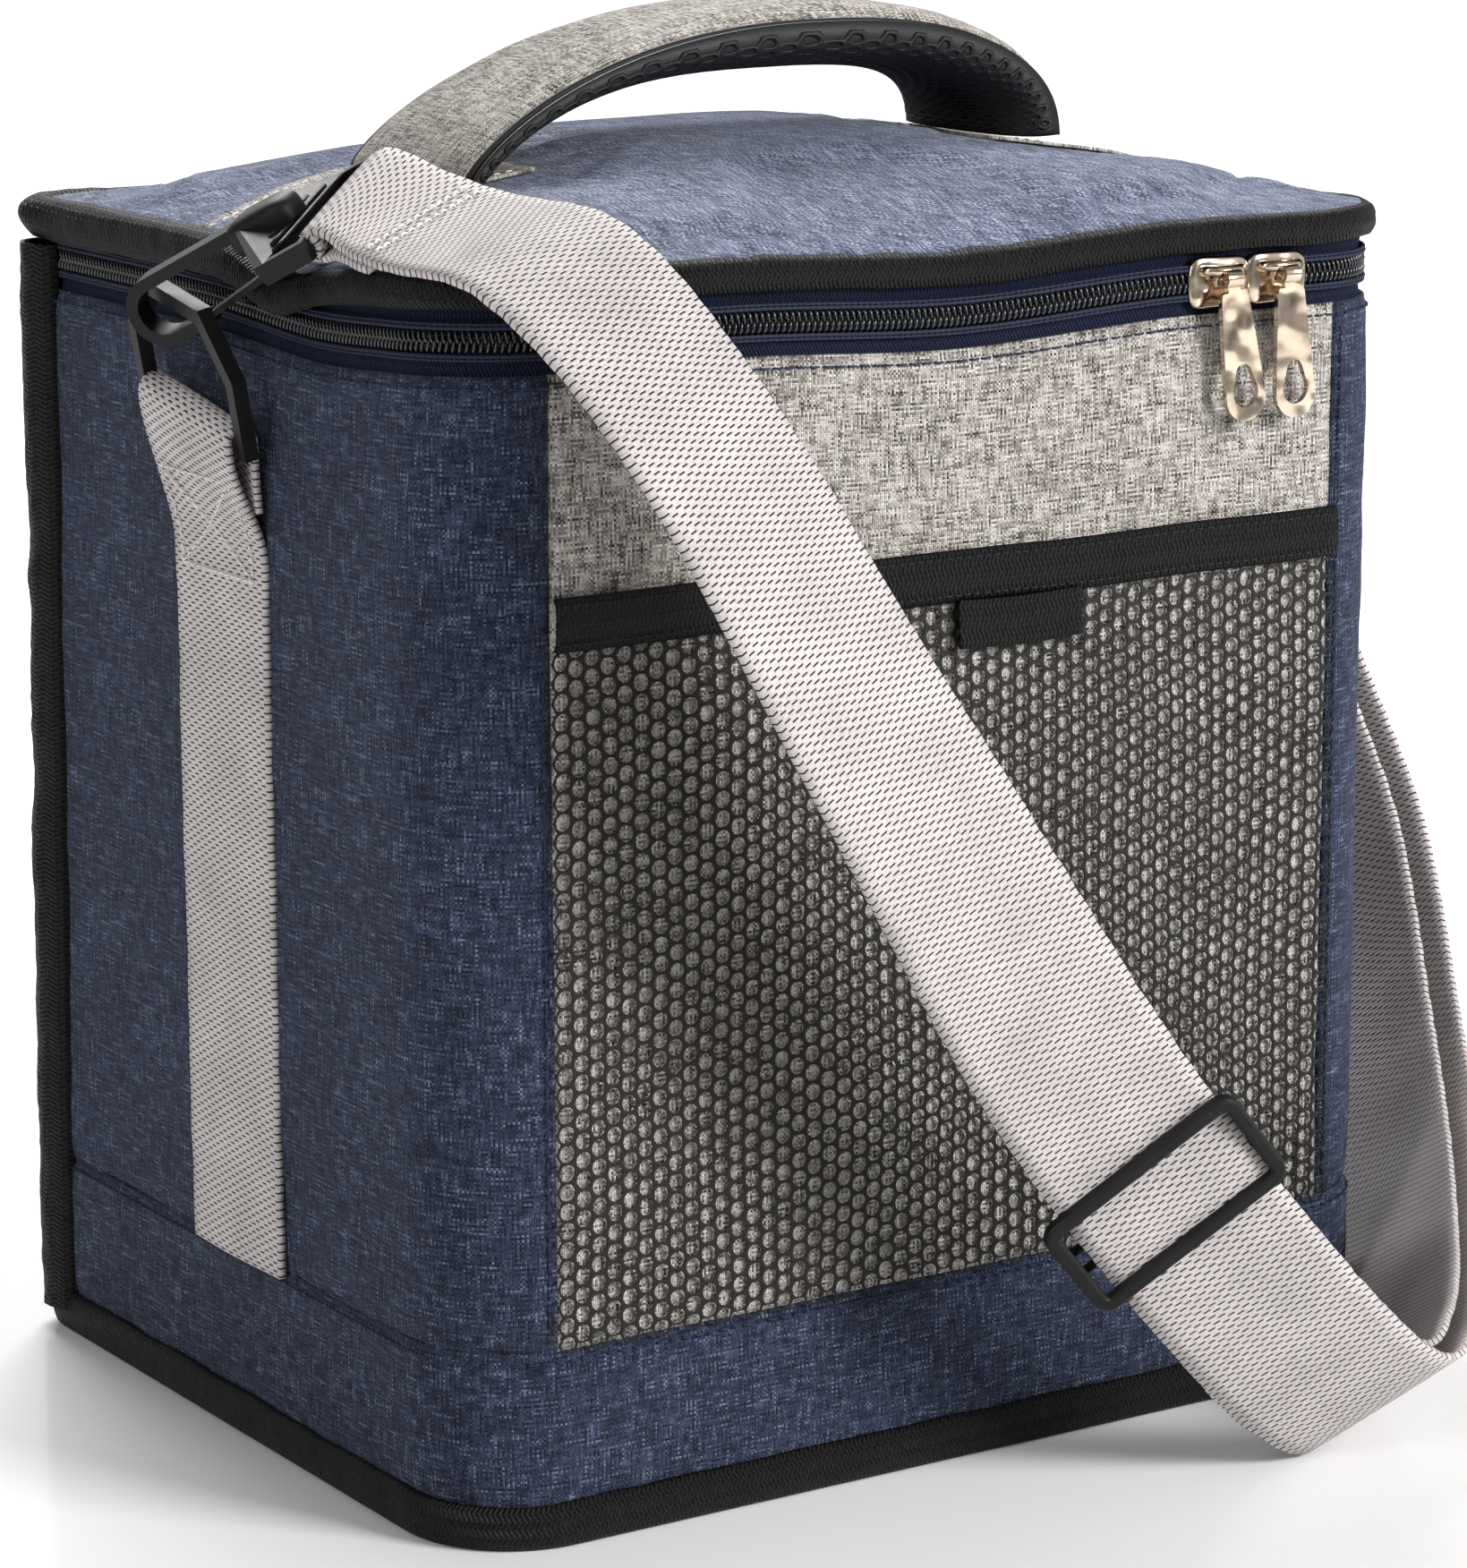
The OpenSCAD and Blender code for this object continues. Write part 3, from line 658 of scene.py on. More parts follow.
def make_walls():
    end = S_BIND + 4 * MM                   # the sides run on under the back bindings
    wall_cloth("front_cloth", -PANEL_HALF, PANEL_HALF, GREY, "front_panel", 0.2 * MM, 1.0)
    wall_cloth("side_cloth_right", PANEL_HALF, end, NAVY, "side_panel_right", 0.7 * MM, 2.0)
    wall_cloth("side_cloth_left", -end, -PANEL_HALF, NAVY, "side_panel_left", 0.7 * MM, 3.0)
    make_back_wall()
    make_base_band()


def wall_thread(name, z, out):
    """A row of stitches round the front and both sides."""

    def outward(p):
        return Vector((p.x / HALF_W ** 2, p.y / HALF_D ** 2, 0)).normalized()

    path = [settle(*plan(s, out), z) for s in spread(-S_BIND, S_BIND, 4 * MM)]
    stitches(name, [path], outward, NAVY_THREAD, "bag", 3.0 * MM, 2.28 * MM, 0.24 * MM)


def make_wall_threads():
    wall_thread("thread_wall_top", WALL_TOP - 2.4 * MM, 0.1 * MM)
    wall_thread("thread_base_seam", BAND_TOP - 2.2 * MM, 0.15 * MM)
    for side, name in SIDES:
        x, y = plan(side * (PANEL_HALF + 2 * MM), 0.15 * MM)
        path = [(x, y, z) for z in spread(BAND_TOP + 2 * MM, WALL_TOP - 4 * MM, 20 * MM)]
        stitches("thread_panel_" + name, [path], FORWARDS, NAVY_THREAD, "bag", radius=0.22 * MM)


# ---- bindings ----

TAPE = 0.9 * MM                             # thickness of the black tape


def folded_tape(height, bulge, samples):
    """Half-round section of a folded tape: pairs of outward distance and height, from low to high."""
    section = []
    for k in range(samples + 1):
        a = math.pi * (k / samples - 0.5)
        section.append((bulge * math.cos(a) ** 0.7, height / 2 * (1 + math.sin(a))))
    return section


def make_base_binding():
    section = folded_tape(BASE_TOP + 0.6 * MM, 2.6 * MM, 9)

    def point(s, k):
        out, z = section[int(k)]
        lump = 0.4 * MM * wobble(s, 0, 3.1, 9 * MM) + 0.25 * MM * wobble(s, z, 8.2, 3 * MM)
        share = math.sin(math.pi * min(max(z / BASE_TOP, 0), 1))
        x, y = plan(s, out - 0.8 * MM + lump * share)
        rise = 0.7 * MM * wobble(s, 0, 5.5, 16 * MM) * smooth(BASE_TOP * 0.4, BASE_TOP, z)
        return settle(x, y, max(z + rise, 0.0))

    sewn("base_binding_tape", round_trip(460), list(range(len(section))), point, TAPE, BINDING, "bag",
         ["base_binding"], closed=True, uv=lambda s, k, p: (s, section[int(k)][1] * 1.4))


def make_back_binding(side, name):
    """The bound seam up a back corner: a fat folded tape that stands proud of both walls."""
    s0, s1 = S_BIND - 1.0 * MM, BACK_BEND + 3.5 * MM

    def point(t, z):
        s = s0 + (s1 - s0) * t
        lump = 0.7 * MM * wobble(z, t * 8 * MM, side * 2.0, 9 * MM)
        lump += 0.3 * MM * wobble(z, t, side * 4.0, 3 * MM)
        out = -0.6 * MM + (4.6 * MM + lump) * math.sin(math.pi * t) ** 0.5
        return settle(*plan(side * s, out), z)

    heights = spread(BASE_TOP * 0.6, LID_Z - 8.5 * MM, 2 * MM)
    ts = [k / 20 for k in range(21)][::side]
    sewn("back_binding_tape_" + name, ts, heights, point, TAPE, BINDING, "bag", ["back_binding_" + name],
         uv=lambda t, z, p: (z, t * (s1 - s0)))


def lid_edge_dip(x, y):
    """The lid's edge sinks with the walls, and more under the left hook."""
    hook = smooth(-HALF_W + 14 * MM, -HALF_W + 2 * MM, x) * bump(-22 * MM, 15 * MM, y)
    return slump(x, y, LID_Z) - 4.6 * MM * hook


def lid_tape_height(s):
    """How far the lid's tape hangs down outside; it is taller towards the back of the left side."""
    left = smooth(0.5, 0.9, -s / HALF_ROUND + 0.25)
    return (4.9 + 2.6 * left + 0.6 * wobble(s, 0, 1.7, 20 * MM)) * MM


def lid_tape_point(s, t):
    """A place on the lid's tape, from its outer foot (t = 0) to its edge on the lid's top (t = 1)."""
    fold = 0.72                             # the share of the tape that hangs outside
    h = lid_tape_height(s)
    lump = 0.7 * MM * wobble(s, 0, 2.3, 9 * MM) + 0.35 * MM * wobble(s, t * 9 * MM, 6.3, 3.2 * MM)
    corner = bump(-BACK_BEND, 16 * MM, s)   # the tape is fuller at the left back corner
    if t < fold:
        w = t / fold
        out = 0.2 * MM + (1.9 * MM + lump) * math.sin(math.pi * (0.12 + 0.72 * w)) ** 0.8
        x, y = plan(s, out + 2.4 * MM * corner * math.sin(math.pi * w))
        z = LID_Z - h + (h + 0.7 * MM) * w + lid_edge_dip(x, y)
    else:
        w = (t - fold) / (1 - fold)
        x, y = plan(s, 0.95 * MM - 5.2 * MM * w)
        outer = LID_Z + 0.7 * MM + lid_edge_dip(x, y)
        z = outer + (lid_height(x, y) + 0.3 * MM - outer) * w
        z += (0.9 * MM + 0.5 * lump) * math.sin(math.pi * (0.12 + 0.88 * w))
    return x, y, z + 1.4 * MM * corner * math.sin(math.pi * min(t / 0.9, 1))


def make_lid_binding():
    """Folded tape round the lid's edge: it hangs over the edge outside and lies on the lid's top."""
    steps = 14

    def point(s, k):
        return lid_tape_point(s, k / (steps - 1))

    sewn("lid_binding_tape", round_trip(560), list(range(steps)), point, 0.8 * MM, BINDING, "lid",
         ["lid_binding"], closed=True, uv=lambda s, k, p: (s, k * 0.85 * MM))


# ---- lid ----


def puff(piece, pinned, pressure, frames, limit):
    """Cloth simulation: air pushes a slightly oversized cloth outwards while pinned(place), from 0
    to 1, holds it. The result is kept as plain mesh. No vertex moves further than limit, and none
    moves down into the filling."""
    mesh = piece.data
    group = piece.vertex_groups.new(name="pinned")
    for vertex in mesh.vertices:
        group.add([vertex.index], pinned(vertex.co), "REPLACE")
    mod = piece.modifiers.new("cloth", "CLOTH")
    cloth = mod.settings
    cloth.quality = 6
    cloth.mass = 0.3
    cloth.tension_stiffness = cloth.compression_stiffness = 12
    cloth.shear_stiffness = 4
    cloth.bending_stiffness = 0.6
    cloth.shrink_min = -0.02
    cloth.use_pressure = True
    cloth.uniform_pressure_force = pressure
    cloth.vertex_group_mass = group.name
    cloth.effector_weights.gravity = 0
    mod.collision_settings.use_collision = False
    scene = bpy.context.scene
    for k in range(1, frames + 1):
        scene.frame_set(k)
    shaped = piece.evaluated_get(bpy.context.evaluated_depsgraph_get()).to_mesh()
    moves = [b.co - a.co for a, b in zip(mesh.vertices, shaped.vertices)]
    piece.to_mesh_clear()
    piece.modifiers.remove(mod)
    piece.vertex_groups.clear()
    for vertex, move in zip(mesh.vertices, moves):
        move.z = max(move.z, 0.0)
        vertex.co += move * min(1.0, limit / max(move.length, 1e-9))
    mesh.update()
    scene.frame_set(1)


def fall_off(t):
    """1 in the middle and 0 at -1 and 1, flat on top."""
    return 1 - min(abs(t), 1.0) ** 2.6


def edge_share(x, y):
    """0 in the lid's middle and 1 at its edge."""
    return max(abs(x) / HALF_W, abs(y) / HALF_D)


def lid_height(x, y):
    """Height of the lid's cloth."""
    share = edge_share(x, y)
    soft = (0.5 + 0.7 * wobble(x, y, 4.4, 45 * MM)) * MM * smooth(1.0, 0.8, share)
    dip = lid_edge_dip(x, y) * smooth(0.75, 1.0, share)
    feet = sum(bump(side * 74 * MM, 16 * MM, x) for side in (-1, 1)) * bump(0, 26 * MM, y)
    return LID_Z + CROWN * fall_off(x / HALF_W) * fall_off(y / HALF_D) + soft + dip - 0.8 * MM * feet


def rounded_place(a, b, inset):
    """Maps the square -1..1 by -1..1 onto the lid's plan, with its rounded corners."""
    w, d = HALF_W - inset, HALF_D - inset
    x, y = a * w, b * d
    r = FRONT_R - inset if y < 0 else max(BACK_R - inset, 1 * MM)
    cx, cy = w - r, d - r
    if abs(x) > cx and abs(y) > cy:
        u, v = (abs(x) - cx) / r, (abs(y) - cy) / r
        x = math.copysign(cx + r * u * math.sqrt(1 - v * v / 2), x)
        y = math.copysign(cy + r * v * math.sqrt(1 - u * u / 2), y)
    return x, y


def from_top(a, b, p):
    """Texture coordinates as seen from above."""
    return p.x, p.y


def lid_sheet(name, inset, lift, step):
    """A sheet over the whole lid, lifted by lift(x, y) from the cloth's height."""

    def point(a, b):
        x, y = rounded_place(a, b, inset)
        return x, y, lid_height(x, y) + lift(x, y)

    return sheet(name, spread(-1, 1, step / HALF_W), spread(-1, 1, step / HALF_D), point, uv=from_top)


def make_lid_cloth():
    def pucker(x, y):
        return (0.9 + 0.45 * wobble(x, y, 7.7, 7 * MM)) * MM * smooth(0.84, 0.95, edge_share(x, y))

    def pinned(place):
        edge = smooth(0.90, 0.95, edge_share(place.x, place.y))
        strip = smooth(48 * MM, 56 * MM, abs(place.x)) * smooth(34 * MM, 27 * MM, abs(place.y))
        return max(edge, strip)

    top = lid_sheet("lid_cloth", 1.4 * MM, pucker, 2.4 * MM)
    puff(top, pinned, pressure=0.8, frames=16, limit=2.2 * MM)
    thicken(top, CLOTH)
    finish_piece(top, NAVY_LID_LIT, "lid", ["lid_panel"])


def make_lid_lining():
    def under(x, y):
        quilt = 0.8 * MM * wobble(x, y, 9.9, 14 * MM) + 0.4 * MM * wobble(x, y, 3.3, 5 * MM)
        return -11.2 * MM - 1.6 * MM * smooth(1.0, 0.85, edge_share(x, y)) + quilt

    lining = lid_sheet("lid_lining", 7.0 * MM, under, 3 * MM)
    thicken(lining, 0.5 * MM)
    finish_piece(lining, FOIL, "lid", ["lid_liner"])


def make_patch(side, name):
    """Flat grey strip from a foot of the handle out to the lid's edge, with turned edges."""
    x0, x1 = 58 * MM, HALF_W - 2.5 * MM

    def half_width(x):
        return (23 - 8 * smooth(76 * MM, x1, x)) * MM

    def on_lid(x, y, lift):
        return side * x, y, lid_height(side * x, y) + lift

    def point(x, t):
        ridge = 0.35 * MM * math.exp(-(((1 - abs(t)) / 0.12) ** 2))
        return on_lid(x, half_width(x) * t, 0.75 * MM + ridge)

    xs = spread(x0, x1, 2 * MM)
    ts = [k / 14 for k in range(-14, 15)][::side]
    sewn("handle_strip_" + name, xs, ts, point, 0.7 * MM, GREY, "lid", ["handle_patch_" + name], uv=from_top)
    seams = [[on_lid(x, edge * (half_width(x) - 2.6 * MM), 0.8 * MM) for x in xs[2:]] for edge in (-1, 1)]
    stitches("thread_strip_" + name, seams, UP, GREY_THREAD, "lid", radius=0.22 * MM, slot="grey_fabric")


# ---- handle ----

HANDLE_BASE = joint_place("handle_tilt")[0].z
HANDLE_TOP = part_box("handle_cover")[1].z
FOOT_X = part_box("handle_cover")[1].x
TOP_X = 10 * MM                             # the arch is highest this far right of the middle
ARCH_SCALE = 62 * MM                        # metres of arch for one radian
ARCH_STEPS = [math.pi * k / 90 for k in range(1, 90)]
PAD_HALF = 29 * MM                          # half the girth of the padded underside
COVER_HALF = 21 * MM                        # half the width of the grey cloth on top


def blend_handle(piece):
    """Bakes the piece's place into its mesh."""
    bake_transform(piece)


def arch_point(a):
    """The arch's outer line, from the left foot (a = 0) to the right foot (a = pi)."""
    c, s = -math.cos(a), math.sin(a)
    rise = HANDLE_TOP - HANDLE_BASE + 1.5 * MM
    foot = HANDLE_BASE - 1.5 * MM
    if c > 0:
        return Vector((TOP_X + (FOOT_X - TOP_X) * c ** 0.8, 0, foot + rise * max(s, 0) ** 0.8))
    return Vector((TOP_X + (FOOT_X + TOP_X) * c, 0, foot + rise * max(s, 0) ** 1.5))


def arch_frame(a):
    """The arch's outer point and its outward normal."""
    e = 0.01
    t = (arch_point(min(a + e, math.pi)) - arch_point(max(a - e, 0))).normalized()
    return arch_point(a), Vector((-t.z, 0, t.x))


def arch_thickness(x):
    """The padding is thin at the left foot and fullest right of the middle."""
    return (5 + 5.5 * smooth(-70 * MM, 10 * MM, x)) * MM


def make_handle_cover():
    """Grey cloth over the arch, turned down at its long edges."""

    def point(a, t):
        p, n = arch_frame(a)
        half = COVER_HALF + 2 * MM * abs(math.cos(a)) ** 4
        y = half * math.copysign(abs(t) ** 0.9, t)
        soft = 0.35 * MM * wobble(p.x, y, p.z, 12 * MM)
        q = p + n * (soft + 0.8 * MM * (1 - t * t)) - n * (abs(t) ** 6 * arch_thickness(p.x) * 0.22)
        return q.x, y, q.z

    ts = [k / 16 for k in range(16, -17, -1)]
    cover = sewn("handle_cloth", ARCH_STEPS, ts, point, 1.0 * MM, GREY, None, ["handle_cover", "handle_foam"],
                 uv=lambda a, t, p: (a * 52 * MM, t * 24 * MM))
    blend_handle(cover)


def pad_place(walk, across):
    """The padded underside, with walk along the arch and across from edge to edge: a place in the
    arch's plane, the outward normal there, and how far aside it lies."""
    a = walk / ARCH_SCALE
    p, n = arch_frame(min(max(a, 0.03), math.pi - 0.03))
    share = across / PAD_HALF
    half = (23.6 + 1.5 * abs(math.cos(a)) ** 4) * MM
    y = half * math.sin(share * math.pi / 2) if abs(share) <= 1 else math.copysign(half, share)
    drop = arch_thickness(p.x) * (0.18 + 0.92 * max(math.cos(share * math.pi / 2), 0.0) ** 0.45)
    return p - n * drop, n, y


def make_handle_pad():
    """The padded underside and the open net that covers it."""
    walks = [ARCH_SCALE * a for a in ARCH_STEPS]
    acrosses = [PAD_HALF * k / 14 for k in range(-14, 15)]

    def pad_point(walk, across):
        p, _, y = pad_place(walk, across)
        return p.x, y, p.z

    pad = sewn("handle_pad", walks, acrosses, pad_point, 0.8 * MM, SPACER, None, ["handle_mesh"])
    blend_handle(pad)

    def net_place(walk, across, lift):
        p, n, y = pad_place(walk, across)
        side = math.sin(across / PAD_HALF * math.pi / 2) ** 3
        off = 0.7 * MM + lift
        inwards, share = -n * off, 1 - abs(side)
        return Vector((p.x + inwards.x * share, y + side * off, p.z + inwards.z * share))

    net = make_net("handle_spacer_net", (0.06 * ARCH_SCALE, (math.pi - 0.06) * ARCH_SCALE),
                   (-PAD_HALF * 0.98, PAD_HALF * 0.98), 4.1 * MM, 0.35, net_place, 0.7 * MM)
    finish_piece(net, SPACER, None)
    blend_handle(net)


def make_handle_welt():
    """Black piping along both edges of the grey cloth."""
    piping = []
    for edge in (-1, 1):
        path = []
        for a in ARCH_STEPS:
            p, n = arch_frame(a)
            q = p - n * (arch_thickness(p.x) * 0.22)
            half = COVER_HALF + (0.5 + 2 * abs(math.cos(a)) ** 4) * MM
            path.append((q.x, edge * half, q.z))
        piping.append(tube_data(path, 0.9 * MM, 10, Vector((0, 1, 0))))
    welt = finish_piece(merged("handle_welt", piping), BLACK_THREAD, None)
    blend_handle(welt)


# ---- net ----


def make_net(name, u_range, v_range, pitch, hole, place, yarn=0.22 * MM):
    """A sheet of hexagonal cells with oval holes. place(u, v, lift) gives a point; the yarn between
    the holes stands up from the sheet. hole is a hole's half height as a share of the pitch, and yarn
    is the sheet's thickness."""
    step_u = pitch * 0.925                  # between two columns of cells
    near, far, half = 0.327 * pitch, 0.6 * pitch, 0.5 * pitch
    corners = [(near, half), (-near, half), (-far, 0), (-near, -half), (near, -half), (far, 0)]
    rim = []
    for k, (x, y) in enumerate(corners):
        nx, ny = corners[(k + 1) % 6]
        rim += [(x, y), ((x + nx) / 2, (y + ny) / 2)]
    verts, faces = [], []
    for i in range(int((u_range[1] - u_range[0]) / step_u)):
        for j in range(int((v_range[1] - v_range[0]) / pitch)):
            cu = u_range[0] + (i + 0.5) * step_u
            cv = v_range[0] + (j + 0.5 + 0.5 * (i % 2)) * pitch
            if cv + half > v_range[1]:
                continue
            base = len(verts)
            for x, y in rim:
                a = math.atan2(y, x)
                hx, hy = hole * pitch * 0.95 * math.cos(a), hole * pitch * math.sin(a)
                verts.append(place(cu + x, cv + y, 0.0))
                verts.append(place(cu + (x + hx) / 2, cv + (y + hy) / 2, 0.3 * yarn))
                verts.append(place(cu + hx, cv + hy, 0.0))
            for k in range(12):
                a, b = base + 3 * k, base + 3 * ((k + 1) % 12)
                faces += [(a, b, b + 1, a + 1), (a + 1, b + 1, b + 2, a + 2)]
    net = new_mesh(name, verts, faces)
    weld(net, 0.02 * MM)
    thicken(net, yarn, 0.0)
    return net


# ---- pocket ----


def make_pocket_net():
    top, low = POCKET_SEAM + 1.5 * MM, BAND_TOP - 0.5 * MM

    def place(x, z, lift):
        u = x + 1.1 * MM * wobble(x, z, 1.3, 38 * MM)
        w = z + 1.3 * MM * wobble(x, z, 5.3, 42 * MM)
        edge = min(PANEL_HALF - abs(x), z - low, top - z)
        out = 0.95 * MM + 0.35 * MM * smooth(0, 30 * MM, edge) + 0.2 * MM * wobble(x, z, 8.1, 15 * MM)
        hold = smooth(0, 5 * MM, edge)
        return Vector((x + (u - x) * hold, -HALF_D - out - lift, z + (w - z) * hold))

    across, up = (-PANEL_HALF - 0.4 * MM, PANEL_HALF + 1.5 * MM), (low, top + 2 * MM)
    finish_piece(make_net("pocket_net", across, up, 4.0 * MM, 0.45, place), NET, "bag", ["pocket_mesh"])


def make_pocket_band():
    """Stitched tape along the pocket's top."""
    tall = POCKET_TOP - POCKET_SEAM

    def wave(x):
        return 0.5 * MM * wobble(x, 0, 6.1, 30 * MM)

    def point(x, t):
        belly = math.cos(math.pi * t) ** 0.3 if abs(t) < 0.5 else 0.0
        ripple = 0.3 * MM * wobble(x, t, 2.2, 10 * MM)
        return x, -HALF_D - 1.5 * MM - (1.1 * MM + ripple) * belly, POCKET_SEAM + tall * (t + 0.5) + wave(x)

    xs, ts = spread(-PANEL_HALF, PANEL_HALF, 2 * MM), [k / 10 - 0.5 for k in range(11)]
    sewn("pocket_band_tape", xs, ts, point, 1.0 * MM, BINDING, "bag", ["pocket_band"],
         uv=lambda x, t, p: (x, t * tall))
    xs = spread(-PANEL_HALF + MM, PANEL_HALF - MM, 3 * MM)
    seams = [[(x, -HALF_D - 2.3 * MM, z + wave(x)) for x in xs]
             for z in (POCKET_SEAM + 1.6 * MM, POCKET_TOP - 1.6 * MM)]
    stitches("thread_pocket_band", seams, FORWARDS, BLACK_THREAD, "bag", 2.4 * MM, 1.8 * MM, 0.22 * MM)


def make_label():
    """A blank tab of black tape under the pocket's band."""
    lo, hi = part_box("label_tab")

    def point(x, z):
        droop = 0.5 * MM * math.sin((x - lo.x) / (hi.x - lo.x) * math.pi)
        return x, lo.y - 0.3 * MM - 0.6 * MM * (hi.z - z) / (hi.z - lo.z), z - droop

    xs, heights = spread(lo.x, hi.x, 1.5 * MM), spread(lo.z, hi.z + 1 * MM, 1 * MM)
    sewn("label_tape", xs, heights, point, TAPE, BINDING, "bag", ["label_tab"])


# ---- zip ----

COIL_PITCH = 1.45 * MM
COIL_IN = -1.75 * MM                        # the coil's middle lies this far inside the wall's face


def chain_point(s, out, rise):
    """A place at a walk along the zip, out from the wall's face and above the chain's middle."""
    x, y = plan(s, out)
    return x, y, CHAIN_Z + rise + slump(x, y, CHAIN_Z)


def make_coil(name, up, body, phase, nodes):
    """A spiral of nylon wire along one side of the zip, just past the zip's middle, and beside it
    two beaded cords where the wire is sewn to its tape."""
    per_turn = 12
    count = int(2 * S_ZIP / COIL_PITCH) * per_turn
    path = []
    for k in range(count + 1):
        a = 2 * math.pi * (k / per_turn + phase)
        rise = up * (0.95 * MM + 1.35 * MM * math.cos(a))
        path.append(chain_point(-S_ZIP + 2 * S_ZIP * k / count, COIL_IN + 1.0 * MM * math.sin(a), rise))
    finish_piece(merged(name, [tube_data(path, 0.34 * MM, 6)]), COIL, body, nodes)
    cords = []
    walks = spread(-S_ZIP, S_ZIP, 0.72 * MM)
    for rise, size in ((2.75, 0.42), (3.5, 0.3)):
        line = [chain_point(s, COIL_IN + 0.95 * MM, up * rise * MM) for s in walks]
        radii = [(size + (0.12 if k % 2 else -0.1)) * MM for k in range(len(walks))]
        cords.append(tube_data(line, radii, 6))
    finish_piece(merged(name + "_cord", cords), ZIP_CORD, body)


def make_zip_tape(name, z0, z1, body, nodes):
    """Herringbone tape between the chain and the cloth it is sewn to."""

    def point(s, z):
        tilt = abs(z - CHAIN_Z) / (8 * MM)
        ripple = 0.2 * MM * wobble(s, z, 3.9, 8 * MM)
        x, y = plan(s, -2.5 * MM + 1.3 * MM * tilt + ripple)
        return x, y, z + slump(x, y, z)

    walks, heights = spread(-S_ZIP, S_ZIP, 2 * MM), spread(z0, z1, 0.9 * MM)
    sewn(name, walks, heights, point, 0.6 * MM, ZIP_TAPE, body, nodes)


def make_zip():
    make_coil("zip_coil_body", -1, "bag", 0.0, ["lower_zip_coil"])
    make_coil("zip_coil_lid", 1, "lid", 0.5, ["upper_zip_coil"])
    make_zip_tape("zip_tape_body", WALL_TOP - 3 * MM, CHAIN_Z - 1.2 * MM, "bag", ["lower_zip_tape"])
    make_zip_tape("zip_tape_lid", CHAIN_Z + 1.2 * MM, LID_Z - 1.5 * MM, "lid", ["upper_zip_tape"])


def make_hinge_cloth():
    """Navy cloth behind the lid that carries it."""
    edge = HALF_W - BACK_R - 3 * MM

    def point(x, z):
        return x, HALF_D - 0.9 * MM + 0.4 * MM * wobble(x, z, 2.8, 12 * MM), z

    xs, heights = spread(edge, -edge, 3 * MM), spread(WALL_TOP - 3 * MM, LID_Z - 2 * MM, 1.2 * MM)
    cloth = sewn("hinge_cloth", xs, heights, point, 1.0 * MM, NAVY, None, ["hinge_strip"])
    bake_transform(cloth)


def make_slider(name):
    """Cast slider in place of its CAD part: a waisted plate with a raised bridge that holds the pull."""
    middle = box_middle(name).x
    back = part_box("lower_zip_coil")[0].y + 0.6 * MM
    half, tall, samples = 8.0 * MM, 6.4 * MM, 28
    rings = [(0.90, 0.0), (1.0, -0.5), (1.0, -1.2), (0.93, -1.8), (0.6, -2.1), (0.06, -2.2)]

    def outline(k):
        a = 2 * math.pi * k / samples
        c, s = math.cos(a), math.sin(a)
        waist = 1 - 0.16 * abs(s) * (1 - abs(c)) - 0.1 * max(c, 0)
        return soft_power(c) * half, soft_power(s) * tall * waist

    def point(k, r):
        scale, depth = rings[int(r)]
        x, z = outline(k)
        return middle + x * scale, back + depth * MM, CHAIN_Z + z * scale

    shell = sewn(name + "_shell", list(range(samples)), list(range(len(rings))), point, 0.7 * MM, METAL, name,
                 [name], closed=True, uv=lambda k, r, p: (p.x, p.z))
    mod = shell.modifiers.new("smooth", "SUBSURF")
    mod.levels = mod.render_levels = 1
    bridge = []
    for k in range(13):
        a = math.pi * k / 12
        rise = 1.4 * MM + 3.0 * MM * math.sin(a) ** 0.7
        bridge.append((middle - 4.6 * MM * math.cos(a), back - rise, CHAIN_Z + 2.6 * MM))
    finish_piece(merged(name + "_bridge", [tube_data(bridge, 1.15 * MM, 10)]), METAL, name)


# ---- webbing ----


def ribbon(name, stations, half, body, node):
    """Flat webbing through stations of (centre, width direction, normal). Its edges are a little
    scalloped by the weave, and it cups slightly."""
    walks = [0.0]
    for a, b in zip(stations, stations[1:]):
        walks.append(walks[-1] + (b[0] - a[0]).length)

    def point(i, t):
        c, w, n = stations[int(i)]
        walk = walks[int(i)]
        scallop = 0.3 * MM * abs(t) ** 8 * math.sin(walk / (1.35 * MM) * math.pi)
        wave = 0.3 * MM * wobble(walk, t * half, 4.1, 22 * MM)
        return c + w * (t * half + math.copysign(scallop, t)) + n * (wave - 0.25 * MM * t * t)

    ts = [k / 6 for k in range(-6, 7)]
    strip = sheet(name, list(range(len(stations))), ts, point, uv=lambda i, t, p: (walks[int(i)], t * half))
    thicken(strip, WEB_T, 0.0)
    finish_piece(strip, WEBBING, body, [node])


SEWN_OUT = HALF_W + 1.5 * MM                # the sewn part of the side webbing lies this far out
RISE = 30 * MM                              # from where it leaves the wall up to the ring's bar


def side_run(bar_x, bar_z):
    """Distance out and height along the side webbing: up the wall, over the bar and down again."""
    foot = bar_z - RISE
    run = [(SEWN_OUT, z) for z in spread(BAND_TOP - 0.8 * MM, foot, 2.5 * MM)]
    for k in range(1, 13):
        run.append((SEWN_OUT + (bar_x + LOOP - SEWN_OUT) * smooth(0, 1, k / 12), foot + RISE * k / 12))
    for k in range(1, 17):
        a = math.pi * k / 16
        run.append((bar_x + LOOP * math.cos(a), bar_z + LOOP * math.sin(a)))
    x0, x1 = bar_x - LOOP, HALF_W + 2.2 * MM
    for k in range(1, 9):
        run.append((x0 + (x1 - x0) * k / 8, bar_z - 17 * MM * k / 8))
    return run


